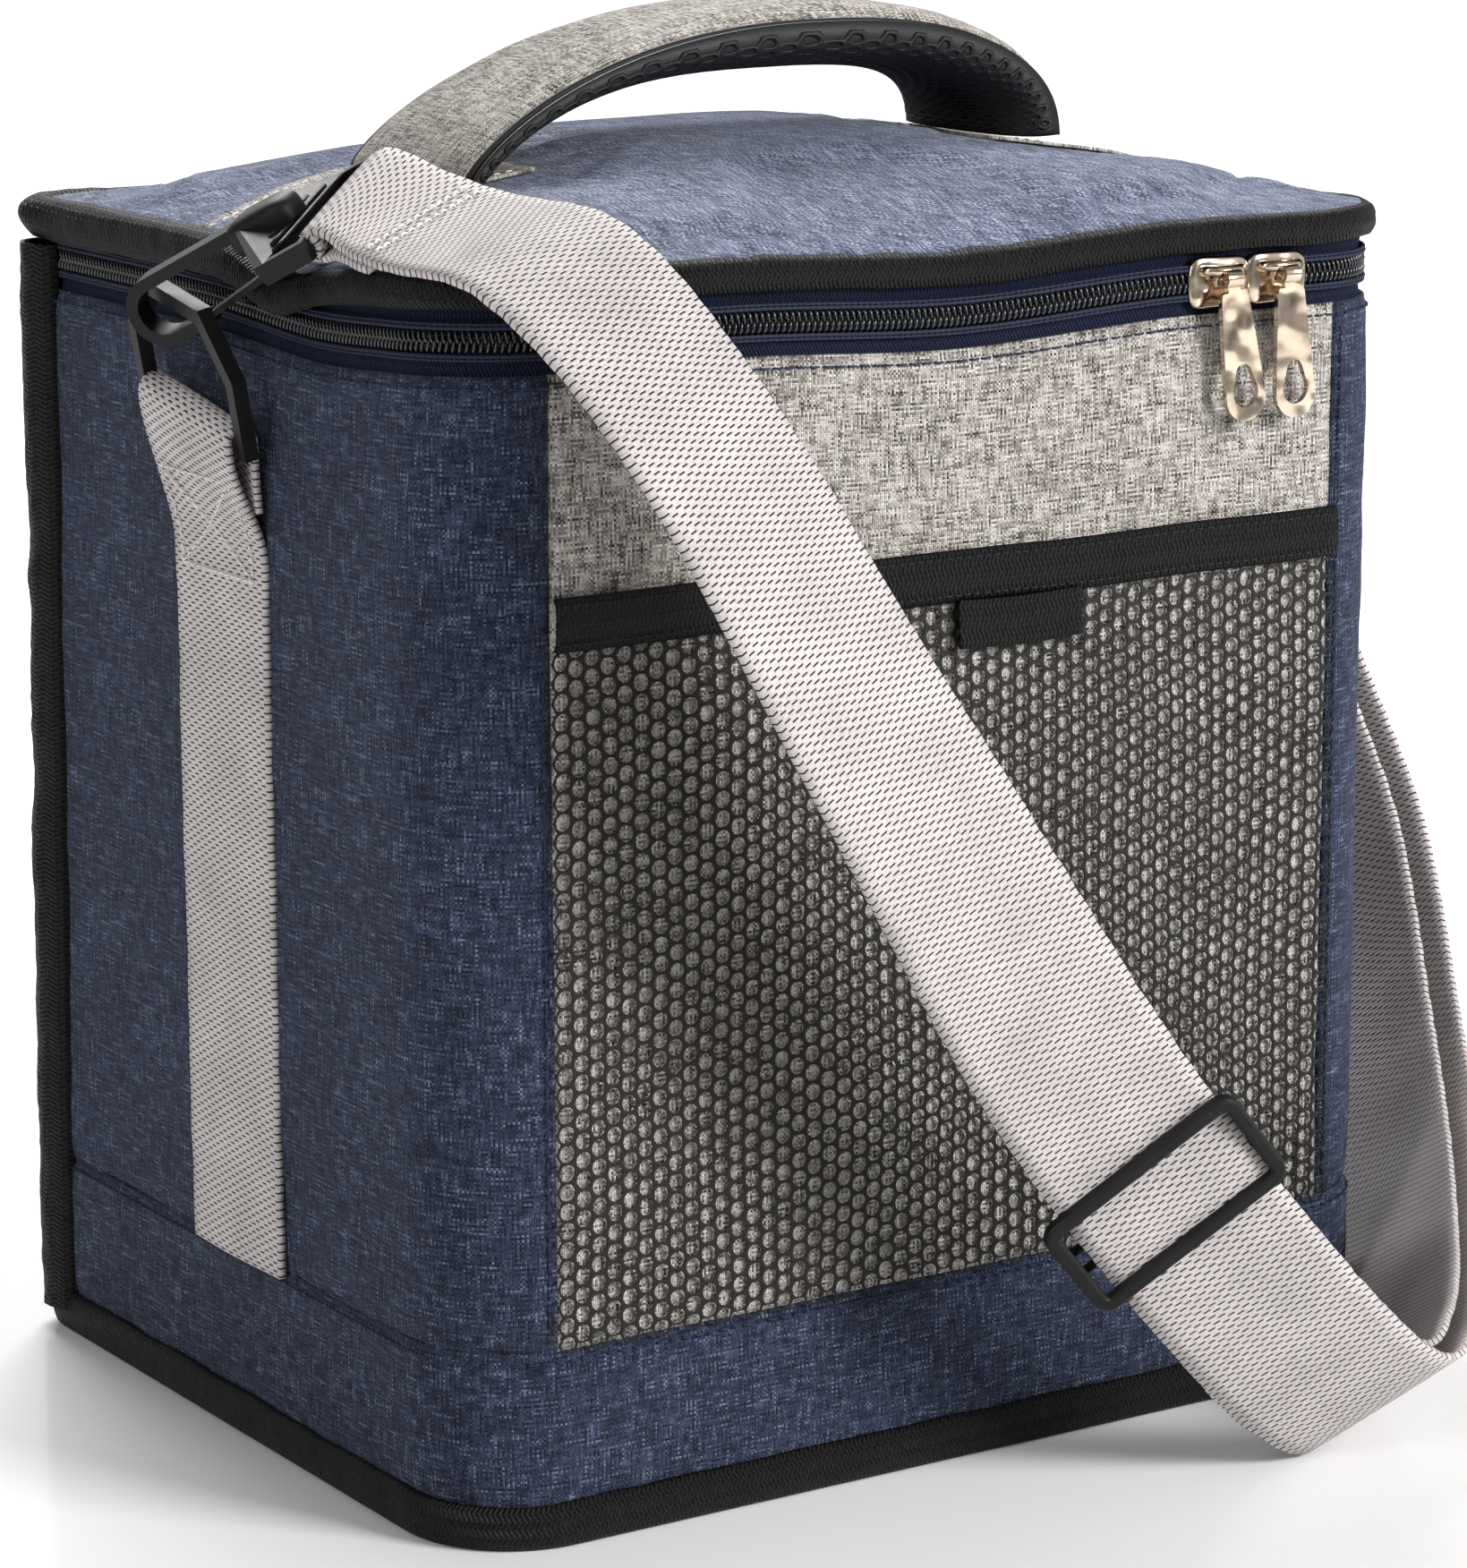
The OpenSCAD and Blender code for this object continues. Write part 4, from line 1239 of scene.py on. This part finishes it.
def side_stitches(side, name, bar):
    """A stitched box with a cross, on the webbing below its loop."""
    half, z0, z1 = 15.5 * MM, bar.z - 33 * MM, bar.z - 12 * MM
    reach = abs(bar.x) + LOOP - SEWN_OUT

    def face(y, z):
        out = SEWN_OUT + reach * smooth(bar.z - RISE, bar.z, z)
        return side * (out + WEB_T / 2 + 0.15 * MM), y, z

    a, b, c, d = (bar.y - half, z0), (bar.y + half, z0), (bar.y + half, z1), (bar.y - half, z1)
    seams = []
    for (ya, za), (yb, zb) in ((a, b), (b, c), (c, d), (d, a), (a, c), (b, d)):
        seams.append([face(ya + (yb - ya) * k / 8, za + (zb - za) * k / 8) for k in range(9)])
    stitches("thread_side_web_" + name, seams, Vector((side, 0, 0)), GREY_THREAD, "bag", 2.6 * MM, 2.0 * MM,
             0.26 * MM)


def make_side_webbing(side, name):
    """Webbing up the side: sewn to the wall, then looped over the ring's bar and down behind itself."""
    bar, axis = joint_place("ring_" + name + "_play")
    if axis.y < 0:
        axis = -axis
    run = side_run(abs(bar.x), bar.z)
    stations = []
    for k, (x, z) in enumerate(run):
        after, before = run[min(k + 1, len(run) - 1)], run[max(k - 1, 0)]
        t = Vector((side * (after[0] - before[0]), 0, after[1] - before[1])).normalized()
        w = Vector((0, 1, 0)).lerp(axis, smooth(bar.z - 26 * MM, bar.z - 4 * MM, z)).normalized()
        stations.append((Vector((side * x, bar.y, z)), w * side, w.cross(t).normalized() * side))
    ribbon("side_web_" + name, stations, WEB_HALF - 0.4 * MM, "bag", "side_webbing_" + name)
    side_stitches(side, name, bar)


# ---- shoulder strap ----

LEFT_BAR = joint_place("hook_left_play")[0]
RIGHT_BAR = joint_place("hook_right_play")[0]
# The strap's drape between its hooks: x, y, z in millimetres, then bearing and tilt of its width.
DRAPE = [
    (-104, -62, 265.5, 20, 15),
    (-97, -96, 262, 14, 15),
    (-80, -122, 230, 18, 18),
    (-46, -138, 164, 10, 29),
    (4, -141, 86, -20, 34),
    (60, -144, 22, -33, 31),
    (86, -136, 17, -46, 40),
    (126, -94, 32, -69, 48),
    (154, -50, 59, -74, 39),
    (167, -18, 101, -77, 27),
    (157, 0, 151, -81, 14),
]
ROWS = np.array([
    (*(LEFT_BAR / MM), 39, 18),
    (*(LEFT_BAR / MM + Vector((3, -6, 1))), 36, 18),
    *DRAPE,
    (*(RIGHT_BAR / MM), -90, 0),
], float)
STRAP_STEP = 1.6 * MM                       # walk between two stations of the strap
END_SKIP = 2                                # stations left out where it turns round a bar
OVERLAP = int(25 * MM / STRAP_STEP)         # stations that the left loop's sewn end covers
TAIL_START = 9                              # stations from the adjuster to the return layer's end


def strap_row(s):
    """Smooth curve through the rows, at a place s between 0 and the last row."""
    i = int(min(max(math.floor(s), 0), len(ROWS) - 2))
    t = s - i
    a, b, c, d = (ROWS[min(max(k, 0), len(ROWS) - 1)] for k in (i - 1, i, i + 1, i + 2))
    square, cube = 2 * a - 5 * b + 4 * c - d, 3 * b - a - 3 * c + d
    return 0.5 * (2 * b + (c - a) * t + square * t ** 2 + cube * t ** 3)


def strap_path():
    """Evenly spaced stations (centre, width, normal) along the strap."""
    fine = [strap_row(s) for s in np.linspace(0, len(ROWS) - 1, 1600)]
    places = np.array([f[:3] for f in fine]) * MM
    walks = np.concatenate([[0], np.cumsum(np.linalg.norm(np.diff(places, axis=0), axis=1))])
    stations = []
    for walk in np.arange(0, walks[-1], STRAP_STEP):
        k = min(max(int(np.searchsorted(walks, walk)), 2), len(fine) - 3)
        bearing, tilt = math.radians(fine[k][3]), math.radians(fine[k][4])
        w = Vector((math.cos(tilt) * math.cos(bearing), math.cos(tilt) * math.sin(bearing), math.sin(tilt)))
        t = Vector(places[k + 2] - places[k - 2]).normalized()
        stations.append((Vector(places[k]), w, t.cross(w).normalized()))
    return stations


def turn_round(bar, station, way):
    """Half a turn round a hook's bar; way is -1 at the strap's start and 1 at its end."""
    _, w, n = station
    t = n.cross(w).normalized()
    arc = []
    for k in range(1, 12):
        a = math.pi * k / 12
        out = (n * math.cos(a) + t * math.sin(a)) * way
        arc.append((bar + out * LOOP, w, out))
    return arc


def loop_gap(stations):
    """How far a layer lies off the strap's middle line, so many stations from a hook's bar."""
    return LOOP + (0.9 * MM - LOOP) * smooth(0, 14 * MM, stations * STRAP_STEP)


def left_gap(k):
    """The upper layer's distance off the middle line at the strap's left end."""
    return loop_gap(k) * (1 - smooth(OVERLAP, OVERLAP + 12, k))


def strap_layers(path, at_glide):
    """Stations along all the webbing: from the sewn end round the left bar, along the strap, round
    the right bar and back under it to the adjuster."""
    count = len(path)

    def shifted(k, off, aside=0.0):
        c, w, n = path[k]
        return c + n * off + w * aside, w, n

    def layer_gap(k):
        share = (k - at_glide) / (count - 1 - at_glide)
        return 0.95 * MM + 2.2 * MM * math.sin(math.pi * min(max(share, 0), 1)) ** 0.8

    def to_right_end(k, gap):
        near = smooth(count - 12, count - 2, k)
        return gap * (1 - near) + loop_gap(count - 1 - k) * near

    layers = [shifted(k, -loop_gap(k) - 0.1 * MM) for k in range(OVERLAP, END_SKIP, -1)]
    layers += turn_round(LEFT_BAR, path[END_SKIP], -1)
    for k in range(END_SKIP, count - END_SKIP):
        gap = left_gap(k) if k < at_glide else layer_gap(k) * smooth(at_glide, at_glide + 14, k)
        layers.append(shifted(k, to_right_end(k, gap) + 1.6 * MM * bump(at_glide, 5.0, k)))
    layers += turn_round(RIGHT_BAR, path[count - END_SKIP], 1)
    for k in range(count - END_SKIP, at_glide + TAIL_START, -1):
        aside = -3.0 * MM * smooth(at_glide + 8, at_glide + 60, k) * smooth(count - 8, count - 60, k)
        layers.append(shifted(k, -to_right_end(k, layer_gap(k)), aside))
    return layers


def make_strap():
    path = strap_path()
    glide = box_middle("triglide")
    at_glide = min(range(len(path)), key=lambda k: (path[k][0] - glide).length)
    ribbon("strap_web", strap_layers(path, at_glide), WEB_HALF, "strap", "shoulder_strap")
    rows = []
    for walk in (21 * MM, 24 * MM):
        k = int(walk / STRAP_STEP)
        c, w, n = path[k]
        base = c + n * (left_gap(k) + WEB_T / 2 + 0.1 * MM)
        line = [base + w * (x * MM) for x in range(-17, 18, 2)]
        rows += stitch_row(line, n, 2.6 * MM, 2.0 * MM, 0.28 * MM)
    finish_piece(merged("thread_strap", rows), GREY_THREAD, "strap")
    make_fray("fray_hook_end", path[OVERLAP])
    make_fray("fray_glide_end", path[at_glide + TAIL_START])


def make_fray(name, station):
    """Loose threads at a cut end of the webbing."""
    c, w, n = station
    t = n.cross(w).normalized()
    parts = []
    for _ in range(46):
        x = random.uniform(-1, 1) * WEB_HALF * 0.97
        length = random.uniform(0.6, 2.6) * MM
        start = c + w * x - n * (1.2 * MM)
        bend = w * random.uniform(-1.0, 1.0) * MM + n * random.uniform(-0.5, 0.5) * MM
        line = [start + t * (1.2 * MM), start - t * (length * 0.5) + bend * 0.3, start - t * length + bend]
        parts.append(tube_data(line, 0.16 * MM, 5))
    finish_piece(merged(name, parts), GREY_THREAD, "strap")


# ---- moulded parts ----

NOSE_LEAN = 0.17                            # the hook's nose lies aside of its gate by this slope
GLIDE_SIZE = (49.0 * MM, 25.4 * MM)         # outside of the adjuster, along its bars and across them
GLIDE_LIFT = 1.7                            # its frame stands this many millimetres off the strap's middle


def hook_frame(name):
    """The hook's own frame: x along its base bar, y towards the nose, z towards the spine."""
    bar, axis = joint_place("hook_" + name + "_play")
    y = box_middle("gate_" + name) - bar
    y = (y - axis * y.dot(axis)).normalized()
    y = (y + axis.cross(y) * NOSE_LEAN).normalized()
    return Matrix((axis, y, axis.cross(y))).transposed(), bar


def make_hook_details(name):
    """Ribs across the hook's flared shoulder, and the rounded boss where its bow begins."""
    turn, bar = hook_frame(name)

    def place(x, y, z):
        return bar + turn @ Vector((x * MM, y * MM, z * MM))

    ribs = []
    for k in range(4):
        y, z = 7.0 + 2.2 * k, 2.4 + 0.5 * k
        half = 21.5 - 1.92 * (y - 5.5)
        ribs.append(tube_data([place(x, y, z) for x in np.linspace(-half, half, 9)], 0.6 * MM, 8))
    finish_piece(merged("hook_ribs_" + name, ribs), PLASTIC, "hook_" + name)

    def boss_point(a, b):
        ring = soft_power(math.cos(b))
        x, y = 5.2 * ring * soft_power(math.cos(a)), 8.5 * ring * soft_power(math.sin(a))
        return place(x, 16.5 + y, 4.6 + 4.2 * soft_power(math.sin(b)))

    turns = [2 * math.pi * k / 36 for k in range(36)]
    boss = sheet("hook_boss_" + name, turns, spread(-math.pi / 2, math.pi / 2, 0.14), boss_point, closed=True)
    finish_piece(boss, PLASTIC, "hook_" + name)


def glide_frame():
    """The adjuster's middle and its directions: across the strap, along it and out of it."""
    middle = box_middle("triglide")
    along = Vector(JOINTS["triglide_run"]["axis"]).normalized()
    nearest = min(strap_path(), key=lambda station: (station[0] - middle).length)
    across = (nearest[1] - along * nearest[1].dot(along)).normalized()
    out = along.cross(across).normalized()
    return middle, across, along, -out if out.y > 0 else out


def make_glide():
    """Three-bar slide adjuster: a rounded frame, thick at its outer edge, with two bars across it."""
    middle, across, along, out = glide_frame()
    half_long, half_tall, corner, count = GLIDE_SIZE[0] / 2, GLIDE_SIZE[1] / 2, 4.0 * MM, 7
    outline = []
    for turn, (cx, cy) in enumerate([(1, 1), (-1, 1), (-1, -1), (1, -1)]):
        for k in range(count):
            a = math.pi / 2 * (turn + k / (count - 1))
            x = cx * (half_long - corner) + corner * math.cos(a)
            y = cy * (half_tall - corner) + corner * math.sin(a)
            outline.append((x, y, math.cos(a), math.sin(a)))
    section = [(0.0, -1.2), (0.0, 0.9), (-0.6, 1.6), (-2.6, 1.6), (-3.3, 1.1), (-3.3, -0.9), (-2.7, -1.2)]

    def point(i, k):
        x, y, nx, ny = outline[int(i)]
        inset, lift = section[int(k)]
        place_x, place_y = x + nx * inset * MM, y + ny * inset * MM
        return middle + across * place_x + along * place_y + out * ((lift + GLIDE_LIFT) * MM)

    rim = sheet("glide_frame", list(range(len(outline))), [0, 1, 2, 3, 4, 5, 6, 0], point, closed=True)
    weld(rim, 0.01 * MM)
    soften(rim, 0.3 * MM)
    finish_piece(rim, PLASTIC, "triglide", ["triglide"])
    bars = []
    for side in (-1, 1):
        row = middle + along * (side * 2.6 * MM) - out * (0.6 * MM)
        ends = [row + across * (end * (half_long - 2 * MM)) for end in (-1, 1)]
        bars.append(tube_data(ends, 1.0 * MM, 16))
    finish_piece(merged("glide_bars", bars), PLASTIC, "triglide")


def dress(material, names, rounding=0.0):
    """Material and rounded edges for CAD parts whose shapes stay."""
    for name in names:
        obj = frame["nodes"][name]
        obj.data.materials.clear()
        obj.data.materials.append(material)
        if rounding:
            soften(obj, rounding)


def dress_cad_parts():
    for part in ("ring", "hook", "gate"):
        dress(PLASTIC, [part + "_left", part + "_right"], 0.55 * MM)
    dress(METAL, ["pull_left", "pull_right"], 0.55 * MM)
    dress(FOAM, ["wall_foam", "base_foam", "lid_foam"])
    dress(BINDING, ["base_board"])
    dress(NAVY, ["base_panel"])


# ---- lining ----


def make_liner():
    """Foil lining: over the foam's rim, down the inside and across the floor."""
    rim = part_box("wall_foam")[1].z
    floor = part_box("liner_tub")[0].z + 1.0 * MM
    profile = [(-2.2, rim - 6 * MM), (-2.2, rim + 0.6 * MM), (-3.5, rim + 1.5 * MM)]
    profile += [(-7.0, rim + 1.5 * MM), (-8.8, rim + 0.2 * MM)]
    profile += [(-9.0, z) for z in spread(rim - 6 * MM, floor + 6 * MM, 6 * MM)]
    profile += [(-9.6, floor + 2 * MM), (-11.5, floor + 0.3 * MM)]

    def point(s, k):
        out, z = profile[int(k)]
        crease = 1.3 * MM * wobble(s, z, 5.7, 16 * MM) * smooth(rim, rim - 20 * MM, z)
        x, y = plan(s, out * MM - abs(crease))
        return x, y, z

    tub = sheet("liner_cloth", round_trip(240), list(range(len(profile))), point, closed=True,
                uv=lambda s, k, p: (s, p.z))
    thicken(tub, 0.4 * MM, 1.0)
    finish_piece(tub, FOIL, "bag", ["liner_tub"])

    def floor_point(a, b):
        x, y = rounded_place(a, b, 10.5 * MM)
        return x, y, floor + 0.5 * MM + 0.4 * MM * wobble(x, y, 2.0, 14 * MM)

    sewn("liner_floor", spread(-1, 1, 0.05), spread(-1, 1, 0.06), floor_point, 0.4 * MM, FOIL, "bag",
         uv=from_top)


# ---- stage ----

WHITE = (1.0, 1.0, 1.0, 1.0)
ROOM_LIGHT = 0.42                           # what the white room adds to every surface, on average
ROOM_LOW = 0.15                             # and where the room is darkest
SEEN_LIGHT = 1.05                           # how bright the camera sees the background


def make_floor():
    """White glossy floor; far from the bag the camera sees it as bright as the background."""
    n = Nodes("stage_white")
    white = n.done((0.93, 0.93, 0.93), 0.14, specular=0.4)
    away = n.node("ShaderNodeVectorMath", operation="LENGTH")
    n.put(away.inputs[0], n.spot())
    far = n.node("ShaderNodeMapRange", interpolation_type="SMOOTHSTEP")
    n.put(far.inputs["Value"], away.outputs["Value"])
    n.put(far.inputs["From Min"], 0.25)
    n.put(far.inputs["From Max"], 0.9)
    seen = n.node("ShaderNodeLightPath").outputs["Is Camera Ray"]
    n.put(n.shader.inputs["Emission Color"], WHITE)
    n.put(n.shader.inputs["Emission Strength"], n.times(far.outputs[0], seen))
    floor = new_mesh("floor", [(-6, -6, 0), (6, -6, 0), (6, 6, 0), (-6, 6, 0)], [(0, 1, 2, 3)])
    floor.data.materials.append(white)


def make_room():
    """White background for the camera, and a dimmer room with soft patches for every other ray."""
    world = bpy.data.worlds.new("studio")
    bpy.context.scene.world = world
    world.use_nodes = True
    tree = world.node_tree
    way = tree.nodes.new("ShaderNodeTexCoord")
    patches = tree.nodes.new("ShaderNodeTexNoise")
    patches.inputs["Scale"].default_value = 1.6
    patches.inputs["Detail"].default_value = 0.0
    tree.links.new(way.outputs["Generated"], patches.inputs["Vector"])
    room = tree.nodes.new("ShaderNodeMapRange")
    room.inputs["From Min"].default_value = 0.38
    room.inputs["From Max"].default_value = 0.62
    room.inputs["To Min"].default_value = ROOM_LOW
    room.inputs["To Max"].default_value = 2 * ROOM_LIGHT - ROOM_LOW
    tree.links.new(patches.outputs[0], room.inputs["Value"])
    seen = tree.nodes.new("ShaderNodeLightPath")
    level = tree.nodes.new("ShaderNodeMapRange")
    level.inputs["To Max"].default_value = SEEN_LIGHT
    tree.links.new(seen.outputs["Is Camera Ray"], level.inputs["Value"])
    tree.links.new(room.outputs["Result"], level.inputs["To Min"])
    background = tree.nodes["Background"]
    background.inputs[0].default_value = WHITE
    tree.links.new(level.outputs["Result"], background.inputs[1])


def softbox(name, place, target, size, power):
    """A rectangular light at a place, turned to a target."""
    light = bpy.data.lights.new(name, "AREA")
    light.shape = "RECTANGLE"
    light.size, light.size_y = size
    light.energy = power
    obj = bpy.data.objects.new(name, light)
    obj.location = place
    obj.rotation_euler = (Vector(target) - Vector(place)).to_track_quat("-Z", "Y").to_euler()
    bpy.context.scene.collection.objects.link(obj)


def make_camera():
    camera = bpy.data.cameras.new("camera")
    camera.sensor_width = 36
    camera.lens = 122.6
    camera.clip_end = 20
    eye = bpy.data.objects.new("camera", camera)
    bearing, drop, roll = math.radians(32.8), math.radians(-12.54), math.radians(-0.19)
    eye.location = (-0.6234, -0.9749, 0.3871)
    look = Matrix.Rotation(-bearing, 4, "Z") @ Matrix.Rotation(math.pi / 2 + drop, 4, "X")
    eye.matrix_world = Matrix.Translation(eye.location) @ look @ Matrix.Rotation(roll, 4, "Z")
    bpy.context.scene.collection.objects.link(eye)
    bpy.context.scene.camera = eye


def make_stage():
    """White glossy floor, soft studio light and the camera."""
    make_floor()
    make_room()
    softbox("key", (0.8, -1.5, 0.9), (0, 0, 0.12), (0.6, 0.6), 38)
    softbox("top", (0.3, 1.0, 1.2), (0, 0, 0.2), (0.9, 0.5), 26)
    softbox("side", (-1.5, -0.5, 0.8), (0, 0, 0.15), (0.3, 0.9), 7)
    make_camera()
    bpy.context.scene.view_settings.view_transform = "Standard"


# ---- build ----

dress_cad_parts()
make_walls()
make_wall_threads()
make_base_binding()
for side, name in SIDES:
    make_back_binding(side, name)
make_lid_cloth()
make_lid_lining()
make_lid_binding()
for side, name in SIDES:
    make_patch(side, name)
make_handle_cover()
make_handle_pad()
make_handle_welt()
make_pocket_net()
make_pocket_band()
make_label()
make_zip()
make_hinge_cloth()
make_slider("slider_left")
make_slider("slider_right")
for side, name in SIDES:
    make_side_webbing(side, name)
make_strap()
make_hook_details("left")
make_hook_details("right")
make_glide()
make_liner()
make_stage()
